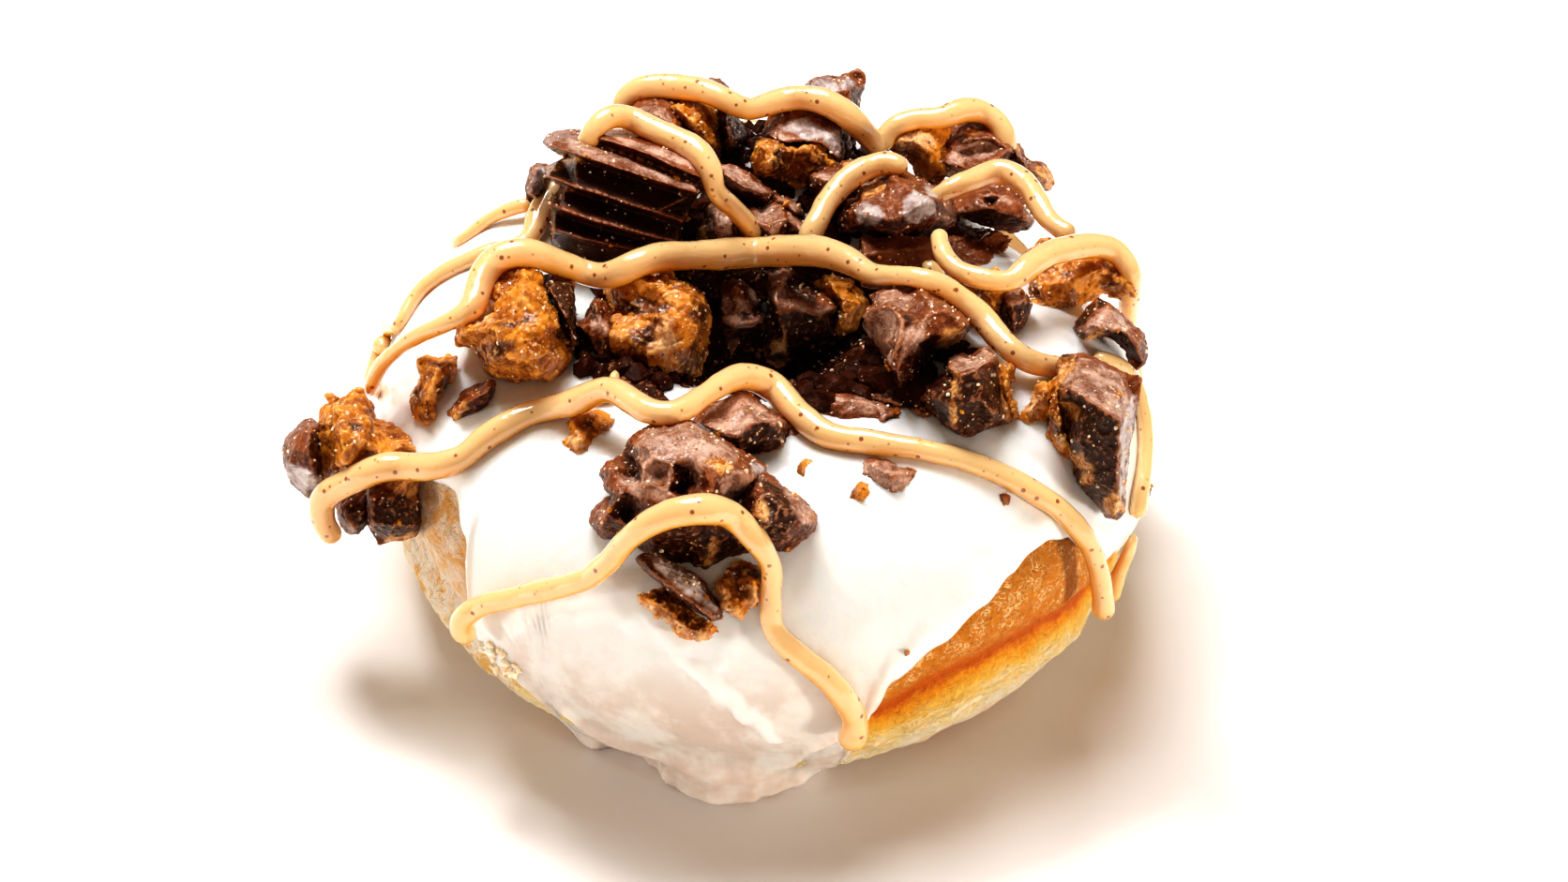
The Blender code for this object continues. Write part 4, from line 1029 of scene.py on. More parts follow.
def fine_copy(node, name, grow):
    """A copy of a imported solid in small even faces, grown a little to meet its neighbours."""
    shape = bmesh.new()
    shape.from_mesh(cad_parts[node].data)
    bmesh.ops.remove_doubles(shape, verts=shape.verts, dist=1e-6)
    bmesh.ops.recalc_face_normals(shape, faces=shape.faces)
    shape.normal_update()
    for vert in shape.verts:
        vert.co += vert.normal * (grow * MM)
    return fine_piece(name, shape)


def surface_tree(pieces):
    """The outer faces of some pieces, for finding what lies there. In millimetres."""
    spots, faces, start = [], [], 0
    for piece in pieces:
        mesh = piece.data
        spots.extend(spots_of(piece).tolist())
        corners = numbers(mesh.loops, "vertex_index", 1, int)
        cuts = np.cumsum(numbers(mesh.polygons, "loop_total", 1, int))[:-1]
        faces.extend((part + start).tolist() for part in np.split(corners, cuts))
        start += len(mesh.vertices)
    return BVHTree.FromPolygons(spots, faces)


eye = camera.location / MM
bare_tops = surface_tree([icing, dough])


def bare_depth(across, down):
    """How far the bare icing or dough lies from the camera at a pixel, or None."""
    spot = bare_tops.ray_cast(eye, line_of_sight(across, down))[0]
    return (eye - spot).dot(view_back) if spot else None


def at_depth(across, down, depth):
    """The place seen at a pixel at a depth from the camera, in millimetres."""
    way = line_of_sight(across, down)
    return eye - way * (depth / way.dot(view_back))


def middle_of(outline):
    """The mean of an outline's points."""
    return sum((Vector(point) for point in outline), Vector((0.0, 0.0))) / len(outline)


def carve(name, outline, crests, rim_depth, crest_depth, back_depth):
    """A closed piece that fills an outline of pixels, raised along its crests."""
    flat = [Vector(point) for point in outline]
    edges, nearness = [], {}
    for crest in crests:
        for index, (across, down, share) in enumerate(crest):
            nearness[len(flat)] = share
            if index:
                edges.append((len(flat) - 1, len(flat)))
            flat.append(Vector((across, down)))
    loop = list(range(len(outline)))
    turning = sum(flat[a].cross(flat[b]) for a, b in zip(loop, loop[1:] + loop[:1]))
    spots, _edges, faces, origins, *_rest = delaunay_2d_cdt(
        flat, edges, [loop if turning > 0 else loop[::-1]], 1, 1e-4
    )
    shape = bmesh.new()
    front, rim = [], {}
    for spot, origin in zip(spots, origins):
        first = min(origin, default=-1)
        depth = crest_depth(*spot, nearness[first]) if first in nearness else rim_depth(*spot)
        front.append(shape.verts.new(at_depth(*spot, depth) * MM))
        for index in origin:
            if index < len(outline):
                rim[index] = front[-1]
    for face in faces:
        shape.faces.new([front[index] for index in face])
    middle = middle_of(outline)
    behind = []
    for point in flat[: len(outline)]:
        inner = middle.lerp(point, BACK_SHARE)
        behind.append(shape.verts.new(at_depth(*inner, back_depth(*inner)) * MM))
    for index in loop:
        after = (index + 1) % len(loop)
        shape.faces.new((rim[index], rim[after], behind[after], behind[index]))
    bmesh.ops.triangulate(shape, faces=[shape.faces.new(behind)])
    return fine_piece(name, shape)


def carve_node(node, outline, crests):
    """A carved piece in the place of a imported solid."""
    spots = np.array([vert.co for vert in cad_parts[node].data.vertices]) / MM
    depths = (np.array(eye) - spots) @ np.array(view_back)
    near, far = depths.min(), depths.max()
    level = near + CHUNK_RIM * (far - near)

    def rim_depth(across, down):
        bare = bare_depth(across, down)
        limit = near + NEAREST_RIM * (far - near)
        return max(min(level, bare + PRESSED_IN), limit) if bare else level

    def crest_depth(across, down, share):
        bare = bare_depth(across, down)
        depth = level - share * (level - near)
        return min(depth, bare - PRESSED_IN) if bare else depth

    return carve(
        node + "_break", outline, crests, rim_depth, crest_depth, lambda *_pixel: far + PRESSED_IN
    )


def carve_lying(name, outline, crests, thick):
    """A thin carved piece that lies on the bare icing or dough."""
    found = [depth for depth in (bare_depth(*point) for point in outline) if depth]
    middle = sum(found) / len(found)

    def level(across, down):
        return bare_depth(across, down) or middle

    return carve(
        name, outline, crests, lambda *pixel: level(*pixel) + LYING_RIM,
        lambda across, down, share: level(across, down) - thick * share,
        lambda *pixel: level(*pixel) + LYING_BACK,
    )


def place_spots(piece, spots):
    """Move a piece's points to places in millimetres."""
    piece.data.vertices.foreach_set("co", (spots * MM).ravel())
    piece.data.update()


def blurred(piece, values, rounds):
    """Values at a piece's points, each evened out with its neighbours some times over."""
    first, second = numbers(piece.data.edges, "vertices", 2, int).T
    count = np.bincount(first, minlength=len(values)) + np.bincount(second, minlength=len(values))
    count = np.maximum(count, 1)[:, None]
    for _ in range(rounds):
        total = np.zeros_like(values)
        for axis in range(values.shape[1]):
            total[:, axis] = np.bincount(first, values[second, axis], len(values))
            total[:, axis] += np.bincount(second, values[first, axis], len(values))
        values = 0.5 * values + 0.5 * total / count
    return values


def cloud_shift(spots, size, seed):
    """A shift from -1 to 1 each way at each point, from clouds about a size in millimetres."""
    shift = Vector((seed * 3.7, seed * 11.3, seed * 7.9))
    return np.array([noise.noise_vector(Vector(spot) / size + shift) for spot in spots])


def scoop(spots, normals, chance, count, depth, bends, rng):
    """Cut shell-like hollows with sharp rims, as chocolate breaks."""
    warp = cloud_shift(spots, 1.3, int(rng.integers(1000))) * 0.3
    starts = rng.choice(len(spots), count, p=chance / chance.sum())
    for start in starts:
        bend = rng.uniform(*bends)
        deep = depth * rng.uniform(0.35, 1.0)
        tilt = normals[start] + rng.normal(0.0, 0.2, 3)
        tilt /= np.linalg.norm(tilt)
        middle = spots[start] + tilt * (bend - deep)
        away = spots + warp - middle
        distance = np.linalg.norm(away, axis=1)
        push = np.maximum(bend - distance, 0.0)
        spots = spots + away / np.maximum(distance, 1e-6)[:, None] * push[:, None]
    return spots


def inside_outline(across, down, outline):
    """Which pixels lie inside an outline of pixels."""
    inside = np.zeros(np.shape(across), bool)
    for (x0, y0), (x1, y1) in zip(outline, outline[1:] + outline[:1]):
        if y0 != y1:
            beside = across < x0 + (down - y0) * (x1 - x0) / (y1 - y0)
            inside ^= ((y0 > down) != (y1 > down)) & beside
    return inside


# The tones of the patches: smears of filling, pale patches that are partly paler chocolate and partly
# painted light on lit faces, dark patches of painted shade, and shine patches of painted reflection.
TONES = ("filling", "pale", "dark", "shine")


def mark_tones(piece, patches, seed):
    """Store which points lie in the patches of each tone, with uneven soft edges."""
    spots = spots_of(piece)
    away = spots - np.array(eye)
    turn = np.array(camera.matrix_world.to_3x3())
    east, north, near = (away @ turn).T
    warp = cloud_shift(spots, 0.8, seed) * 3.5
    across = FRAME_WIDTH / 2 - FOCAL_PIXELS * east / near + warp[:, 0]
    down = FRAME_HEIGHT / 2 + FOCAL_PIXELS * north / near + warp[:, 1]
    seen = (normals_of(piece) * away).sum(axis=1) < 0
    for tone in TONES:
        value = np.zeros(len(spots))
        for outline in patches.get(tone, ()):
            value[inside_outline(across, down, outline) & seen] = 1.0
        store(piece, tone, blurred(piece, value[:, None], 2)[:, 0])


FINE_ROUNDS, BROAD_ROUNDS = 6, 60


def mark_relief(piece):
    """Store how far each point stands out, finely as rim and broadly as hollow, and how far it faces up:
    the finishes paint highlights on rims, shade in hollows and light on tops from these.
    """
    spots, normals = spots_of(piece), normals_of(piece)
    rim = ((spots - blurred(piece, spots, FINE_ROUNDS)) * normals).sum(axis=1)
    hollow = ((blurred(piece, spots, BROAD_ROUNDS) - spots) * normals).sum(axis=1)
    for name, values in (("rim", rim), ("hollow", hollow), ("up", normals[:, 2])):
        store(piece, name, values)


def chocolate(name, **constants):
    """The look of broken milk chocolate: brown tops lit by painted light, sides near black with painted
    shade, painted highlights on the edges.
    """
    milk = Finish(name, IOR=1.5, **constants)
    rim = milk.attribute("rim")
    hollow = milk.attribute("hollow")
    mottle = milk.noise(milk.place, 1.8, 4.0, 0.62)
    grain = milk.noise(milk.place, 0.28, 4.0, 0.7)
    dust = milk.noise(milk.place, 0.55, 3.0, 0.6, 0.5)
    up = milk.attribute("up")
    # Painted light and shade: the tops are lighter brown and the sides near black, by which way each point
    # faces.
    top = milk.mix(mottle.step(0.35, 0.65), (0.180, 0.045, 0.011), (0.310, 0.098, 0.033))
    side = milk.mix(mottle.step(0.32, 0.68), (0.024, 0.0038, 0.0006), (0.125, 0.023, 0.0035))
    base = milk.mix((up + (grain - 0.5) * 0.8).step(0.0, 0.75), side, top)
    # Painted shade: darker in the hollows.
    base = milk.mix(hollow.step(0.05, 0.35) * 0.8, base, (0.016, 0.004, 0.0015))
    # The pale patches: partly paler chocolate and partly painted light on lit faces.
    pale_mottle = (mottle + (grain - 0.5) * 0.6).step(0.35, 0.65)
    pale = milk.mix(pale_mottle, (0.28, 0.125, 0.075), (0.74, 0.52, 0.42))
    base = milk.mix(milk.attribute("pale") * 0.85, base, pale)
    # Painted shade: the dark patches, on faces that lie in shadow, are near black.
    dark = milk.mix(mottle, (0.012, 0.003, 0.0008), (0.050, 0.012, 0.003))
    base = milk.mix(milk.attribute("dark") * 0.92, base, dark)
    # Painted highlights along the convex edges.
    base = milk.mix((rim * 10.0 + (grain - 0.5) * 0.9).step(0.10, 0.62) * 0.7, base, (0.46, 0.19, 0.085))
    smear = milk.mix((dust + (grain - 0.5) * 0.6).step(0.35, 0.62), (0.42, 0.13, 0.014), (0.86, 0.52, 0.20))
    base = milk.mix(milk.attribute("filling"), base, smear)
    # Painted reflection: a pale pinkish-grey sheen on the shine patches.
    painted_sheen = milk.mix(mottle.step(0.3, 0.7), (0.36, 0.26, 0.24), (0.80, 0.74, 0.73))
    base = milk.mix(milk.attribute("shine") * 0.9, base, painted_sheen)
    keep = milk.noise(milk.place, 1.3, 2.0).step(0.50, 0.60)
    base = milk.mix(milk.dots(milk.place, 0.62, 0.07, 0.16) * keep, base, (0.86, 0.68, 0.50))
    milk.feed("Base Color", milk.mix(dust.step(0.58, 0.72) * 0.22, base, (0.34, 0.17, 0.10)))
    milk.feed("Roughness", 0.12 + mottle * 0.24 + grain * 0.12 + milk.attribute("dark") * 0.16)
    milk.bumps((mottle, 0.20), (dust, 0.12), (grain, 0.07))
    return milk


milk = chocolate(
    "milk_chocolate", Specular_IOR_Level=0.5, Coat_Weight=0.22, Coat_Roughness=0.07,
    Specular_Tint=(1.0, 0.86, 0.76, 1.0),
)
# A dull copy of the chocolate for the dark beds and crumbs that stand in for shade in the gaps.
shaded = chocolate("shaded_chocolate", Specular_IOR_Level=0.12)
RELIEF = {"fluted_cup_side": 0.25, "front_right_chocolate": 1.3}
SCOOP_DEPTH = 0.24
SCOOP_BENDS = (1.2, 4.0)
chunk_pieces = []
for number, (node, (outline, crests, patches)) in enumerate(CHUNKS.items()):
    share = RELIEF.get(node, 1.0)
    chunk = carve_node(node, outline, crests)
    spots, normals = spots_of(chunk), normals_of(chunk)
    cloud = cloud_shift(spots, 2.6, number) * 0.16 + cloud_shift(spots, 0.9, number + 60) * 0.08
    moved = spots + cloud * share
    if share > 1.0:
        corner = np.maximum(((spots - blurred(chunk, spots, 12)) * normals).sum(axis=1), 0.0) ** 2
        count = int(6 + len(spots) * CHUNK_VOXEL ** 2 / 6.0)
        rng = np.random.default_rng(number + 100)
        moved = scoop(moved, normals, corner + 1e-9, count, SCOOP_DEPTH, SCOOP_BENDS, rng)
    place_spots(chunk, moved)
    spots = spots_of(chunk)
    creases = 0.3 - np.abs(rough(spots, 1.4, number + 20, 2))
    swell(chunk, (0.19 * creases + 0.09 * rough(spots, 0.45, number + 50, 3)) * share)
    mark_relief(chunk)
    mark_tones(chunk, patches, number + 30)
    chunk.data.shade_smooth()
    chunk_pieces.append(settle(chunk, milk, "milk_chocolate", node))
foot = fine_copy(FOOT_NODE, FOOT_NODE + "_break", FOOT_GROW)
swell(foot, 0.10 * rough(spots_of(foot), 1.2, 7, 3))
mark_relief(foot)
mark_tones(foot, {}, 1)
chunk_pieces.append(settle(foot, milk, "milk_chocolate", FOOT_NODE))


# The peanut butter filling of the same cups: a dry crumbly paste, torn into lumps, wet and
# glossy where its oil has come out, with pits and cracks between its grains.
LUMPS = {
    "left_cup_filling": (
        ((343, 436), (352, 430), (346, 420), (352, 418), (362, 424), (374, 420), (386, 414), (389, 424),
         (397, 436), (401, 448), (415, 452), (426, 462), (436, 467), (446, 482), (452, 496), (420, 500),
         (396, 500), (380, 508), (364, 512), (350, 511), (342, 503), (338, 488), (336, 468), (339, 450)),
        (((360, 438, 0.7), (362, 462, 1.0), (370, 490, 1.0)),
         ((392, 450, 0.7), (390, 470, 1.0), (410, 484, 0.9)),
         ((430, 478, 0.7),)),
        {"dark": (((348, 500), (362, 502), (372, 506), (360, 514), (348, 512)),
                  ((374, 452), (386, 454), (384, 462), (374, 460)))},
    ),
    "left_filling_bit": (
        ((446, 388), (455, 381), (470, 383), (481, 376), (490, 379), (489, 395), (481, 409), (471, 420),
         (463, 430), (464, 445), (456, 453), (445, 448), (437, 437), (438, 424), (445, 411), (451, 399)),
        (((456, 392, 0.8), (468, 396, 1.0), (462, 412, 1.0), (450, 430, 0.9)),
         ((480, 388, 0.8),),
         ((455, 445, 0.9),)),
        {"dark": (((470, 402), (484, 398), (478, 412), (464, 426), (462, 416)),
                  ((440, 416), (452, 408), (458, 420), (448, 434), (439, 434)),
                  ((448, 442), (458, 438), (463, 446), (455, 452), (447, 448)))},
    ),
    "row_a_filling": (
        ((552, 278), (570, 280), (578, 295), (581, 309), (589, 324), (596, 339), (601, 353), (604, 368),
         (611, 382), (604, 392), (603, 401), (590, 404), (570, 406), (550, 411), (533, 407), (520, 400),
         (513, 386), (504, 369), (489, 368), (486, 358), (490, 350), (485, 344), (491, 340), (501, 339),
         (503, 331), (512, 327), (514, 312), (518, 300), (530, 290), (541, 284)),
        (((560, 300, 0.5), (558, 325, 0.9), (550, 340, 1.0)),
         ((578, 318, 0.6), (592, 345, 0.8)),
         ((530, 350, 1.0), (548, 356, 1.05), (556, 352, 1.1), (580, 350, 1.0)),
         ((555, 380, 1.1), (585, 378, 1.0), (575, 398, 0.8)),
         ((500, 352, 0.7),),
         ((528, 384, 0.9),)),
        {"dark": (((526, 342), (545, 345), (560, 338), (578, 330), (562, 343), (546, 352), (530, 349)),
                  ((504, 370), (524, 366), (544, 362), (552, 372), (536, 382), (518, 392), (510, 384))),
         "pale": (((503, 334), (514, 326), (524, 330), (526, 342), (514, 348), (503, 345)),)},
    ),
    "row_b_filling": (
        ((644, 312), (648, 303), (657, 300), (668, 292), (681, 287), (696, 284), (714, 286), (722, 297),
         (736, 302), (746, 310), (753, 320), (759, 331), (758, 348), (754, 366), (750, 384), (750, 398),
         (735, 406), (715, 404), (705, 410), (690, 405), (670, 402), (650, 400), (638, 397), (642, 380),
         (642, 366), (650, 354), (647, 340), (651, 325)),
        (((656, 308, 0.6), (680, 298, 0.7), (706, 300, 0.7), (738, 316, 0.8)),
         ((656, 340, 0.8), (686, 334, 0.85), (720, 330, 0.9)),
         ((655, 360, 1.0), (664, 362, 1.0), (668, 374, 0.95)),
         ((710, 340, 1.05), (708, 356, 1.1), (700, 374, 1.1)),
         ((740, 352, 0.9), (736, 376, 0.9)),
         ((660, 388, 0.8),),
         ((728, 392, 0.8),)),
        {"pale": (((704, 340), (716, 338), (719, 346), (717, 354), (722, 362), (720, 374), (710, 383),
                   (700, 378), (688, 376), (696, 362), (701, 354)),),
         "dark": (((668, 352), (690, 350), (700, 346), (696, 364), (686, 374), (672, 366)),
                  ((656, 374), (680, 366), (690, 384), (700, 396), (720, 404), (690, 408), (655, 398)),
                  ((728, 336), (750, 322), (757, 334), (750, 346), (738, 344)),
                  ((722, 376), (745, 366), (750, 384), (742, 402), (724, 396)),
                  ((664, 322), (690, 318), (716, 326), (704, 334), (676, 336)))},
    ),
    "row_d_filling": (
        ((866, 300), (880, 294), (895, 297), (906, 298), (915, 307), (922, 316), (927, 323), (925, 334),
         (918, 341), (914, 351), (900, 360), (886, 355), (880, 345), (886, 334), (882, 322), (876, 311)),
        (((886, 304, 0.7), (900, 318, 1.0), (900, 342, 1.0)), ((916, 324, 0.8),)),
        {"dark": (((884, 320), (896, 318), (898, 332), (888, 336)),)},
    ),
    "row_f_filling": (
        ((1062, 386), (1070, 392), (1078, 384), (1083, 394), (1084, 404), (1077, 410), (1084, 428),
         (1090, 448), (1078, 452), (1070, 430), (1064, 410)),
        (((1074, 396, 0.9), (1074, 418, 1.0), (1082, 440, 0.8)),),
        {},
    ),
    "right_lump_filling": (
        ((1016, 299), (1024, 291), (1032, 287), (1040, 284), (1051, 289), (1063, 290), (1074, 297),
         (1081, 306), (1076, 318), (1069, 330), (1070, 343), (1062, 338), (1054, 325), (1047, 315),
         (1034, 310), (1022, 307)),
        (((1030, 296, 0.7), (1050, 298, 1.0), (1066, 306, 0.9)), ((1052, 312, 1.0), (1062, 326, 0.9))),
        {"dark": (((1044, 310), (1058, 310), (1064, 318), (1054, 318)),)},
    ),
    "right_slab_filling": (
        ((1095, 306), (1092, 285), (1097, 266), (1112, 257), (1130, 252), (1152, 253), (1172, 262),
         (1190, 278), (1204, 292), (1213, 302), (1217, 312), (1214, 322), (1208, 330), (1203, 320),
         (1190, 317), (1180, 312), (1165, 318), (1150, 325), (1135, 331), (1120, 334), (1105, 332),
         (1101, 338), (1096, 322)),
        (((1104, 270, 0.3), (1140, 262, 0.3)),
         ((1106, 300, 0.8), (1122, 304, 1.0), (1146, 300, 1.0), (1172, 290, 1.0), (1196, 302, 0.9),
          (1208, 312, 0.8)),
         ((1112, 322, 0.9), (1140, 318, 0.9))),
        {"dark": (((1130, 292), (1144, 290), (1140, 297), (1132, 298)),
                  ((1172, 300), (1196, 302), (1186, 308), (1176, 308)),
                  ((1104, 298), (1110, 300), (1108, 312), (1102, 310))),
         "pale": (((1100, 262), (1130, 253), (1156, 256), (1130, 266), (1104, 272)),)},
    ),
    "tall_block_filling": (
        ((1122, 408), (1134, 400), (1136, 430), (1136, 452), (1150, 478), (1156, 496), (1148, 500),
         (1134, 488), (1124, 474), (1114, 462), (1104, 454), (1116, 440), (1124, 428)),
        (((1128, 420, 0.8), (1126, 446, 0.9), (1136, 474, 0.9)),),
        {"dark": (((1108, 450), (1124, 440), (1132, 456), (1140, 476), (1126, 470)),)},
    ),
    "right_bit": (
        ((1087, 441), (1091, 431), (1098, 425), (1104, 412), (1114, 408), (1126, 403), (1124, 416),
         (1120, 424), (1124, 434), (1116, 441), (1105, 449), (1094, 453)),
        (((1100, 434, 0.9), (1112, 420, 1.0)),),
        {"pale": (((1092, 434), (1104, 420), (1114, 424), (1112, 438), (1098, 446)),)},
    ),
    "front_crumb": (
        ((774, 606), (788, 598), (804, 602), (818, 614), (817, 630), (808, 634), (808, 646), (796, 652),
         (792, 660), (778, 658), (768, 650), (762, 636), (760, 622), (766, 618)),
        (((768, 626, 0.9), (774, 644, 1.0), (786, 652, 0.9)),
         ((784, 628, 0.5), (796, 636, 0.6)),
         ((800, 622, 1.0), (806, 640, 0.9))),
        {"dark": (((774, 606), (790, 600), (806, 606), (812, 618), (792, 616), (780, 622)),
                  ((784, 622), (798, 624), (800, 636), (788, 642), (780, 634))),
         "pale": (((762, 621), (768, 620), (776, 634), (778, 648), (790, 650), (790, 658), (776, 657),
                   (766, 646)),
                  ((794, 620), (806, 624), (808, 644), (798, 650), (796, 642), (802, 632)))},
    ),
    "front_flake": (
        ((680, 636), (690, 630), (706, 626), (722, 638), (745, 657), (766, 668), (770, 676), (758, 682),
         (748, 685), (735, 683), (723, 673), (716, 663), (700, 657), (688, 651), (681, 645)),
        (((692, 642, 0.8), (712, 650, 0.7), (732, 668, 0.9), (750, 676, 0.9)),),
        {"dark": (((692, 634), (706, 628), (724, 642), (744, 660), (738, 664), (718, 652), (700, 644)),),
         "pale": (((681, 638), (694, 646), (716, 656), (728, 668), (745, 674), (766, 676), (748, 684),
                   (732, 682), (718, 666), (700, 657), (684, 648)),)},
    ),
    "back_left_filling": (
        ((702, 112), (712, 98), (732, 96), (750, 102), (760, 112), (766, 126), (767, 145), (769, 160),
         (767, 174), (757, 172), (750, 158), (740, 150), (728, 140), (714, 128)),
        (((720, 118, 0.8), (740, 130, 1.0), (756, 150, 0.9)),),
        {},
    ),
    "back_mid_filling": (
        ((805, 152), (815, 148), (830, 151), (845, 156), (860, 153), (875, 154), (886, 163), (893, 176),
         (888, 190), (868, 196), (850, 202), (832, 201), (816, 196), (806, 188), (802, 172)),
        (((812, 156, 0.9), (816, 176, 1.0)),
         ((836, 158, 0.9), (860, 158, 0.9), (868, 168, 0.8)),
         ((844, 176, 0.5),)),
        {"dark": (((826, 160), (860, 162), (880, 166), (886, 184), (860, 196), (830, 196), (822, 180)),
                  ((806, 184), (830, 196), (850, 202), (820, 200)))},
    ),
    "back_right_lump": (
        ((944, 150), (952, 138), (966, 129), (984, 128), (1000, 130), (1012, 138), (1014, 162), (1012, 188),
         (1000, 204), (984, 196), (974, 180), (962, 168), (950, 166), (944, 158)),
        (((960, 150, 0.8), (980, 152, 1.0), (994, 164, 1.0)),),
        {"pale": (((950, 150), (968, 140), (992, 142), (998, 154), (976, 160), (956, 162)),)},
    ),
}
paste = Finish(
    "peanut_filling", Subsurface_Weight=0.25, Subsurface_Radius=(1.0, 0.45, 0.2), Subsurface_Scale=0.0009,
    IOR=1.47, Coat_Weight=0.4, Coat_Roughness=0.07,
)
rim = paste.attribute("rim")
hollow = paste.attribute("hollow")
mottle = paste.noise(paste.place, 1.6, 4.0, 0.6)
grain = paste.noise(paste.place, 0.3, 4.0, 0.7)
base = paste.mix(mottle.step(0.32, 0.68), (0.34, 0.090, 0.005), (0.82, 0.34, 0.032))
# Painted shade: darker in the hollows.
base = paste.mix(hollow.step(0.04, 0.34) * 0.8, base, (0.13, 0.022, 0.0015))
# Painted shade: the dark patches, in crevices and shadowed faces, are near black.
dark = paste.mix(mottle.step(0.4, 0.6), (0.045, 0.007, 0.0006), (0.20, 0.035, 0.003))
base = paste.mix(paste.attribute("dark") * 0.85, base, dark)
# The pale patches: partly paler flakes and partly painted light on lit faces.
flake = paste.mix((mottle + grain * 0.3).step(0.45, 0.75), (0.48, 0.20, 0.08), (0.88, 0.58, 0.32))
base = paste.mix(paste.attribute("pale") * 0.85, base, flake)
# Painted highlights along the convex edges.
base = paste.mix((rim * 9.0 + (grain - 0.5) * 0.8).step(0.15, 0.75) * 0.5, base, (0.93, 0.52, 0.15))
keep = paste.noise(paste.place, 1.1, 2.0).step(0.48, 0.58)
base = paste.mix(paste.dots(paste.place, 0.7, 0.08, 0.17) * keep, base, (0.95, 0.84, 0.66))
brown = paste.dots(paste.place, 0.95, 0.10, 0.20) * 0.8
paste.feed("Base Color", paste.mix(brown, base, (0.16, 0.045, 0.012)))
paste.feed("Roughness", 0.18 + mottle * 0.3)
paste.bumps((mottle, 0.25), (grain, 0.10))


def crumble(spots, seed):
    """Heights of flakes, cracks and pits in millimetres at points in millimetres."""
    shift = Vector((seed * 4.3, seed * 8.9, seed * 2.1))
    heights = []
    for spot in spots:
        place = Vector(spot)
        (near, next_near), (middle, _other) = (part[:2] for part in noise.voronoi(place / 1.7 + shift))
        (small, _next), (crumb, _other) = (part[:2] for part in noise.voronoi(place / 0.7 + shift))
        pit = noise.noise(place / 1.5 - shift)
        flake = 0.34 * noise.noise(middle * 3.7) + 0.22 * min(next_near - near, 0.35)
        grain = 0.14 * noise.noise(crumb * 5.3) + 0.22 * max(0.55 - small, 0.0)
        heights.append(flake + grain - 0.7 * max(pit - 0.2, 0.0))
    return np.array(heights)


def finish_lump(lump, patches, number, share=1.0):
    """Crumble a lump of filling and store its relief and tones."""
    spots = spots_of(lump)
    place_spots(lump, spots + cloud_shift(spots, 2.4, number + 40) * 0.3 * share)
    swell(lump, crumble(spots_of(lump), number) * share)
    swell(lump, 0.11 * rough(spots_of(lump), 0.42, number + 90, 3) * share)
    mark_relief(lump)
    mark_tones(lump, patches, number + 80)
    lump.data.shade_smooth()


for number, (node, (outline, crests, patches)) in enumerate(LUMPS.items()):
    lump = carve_node(node, outline, crests)
    finish_lump(lump, patches, number)
    chunk_pieces.append(settle(lump, paste, "peanut_filling", node))


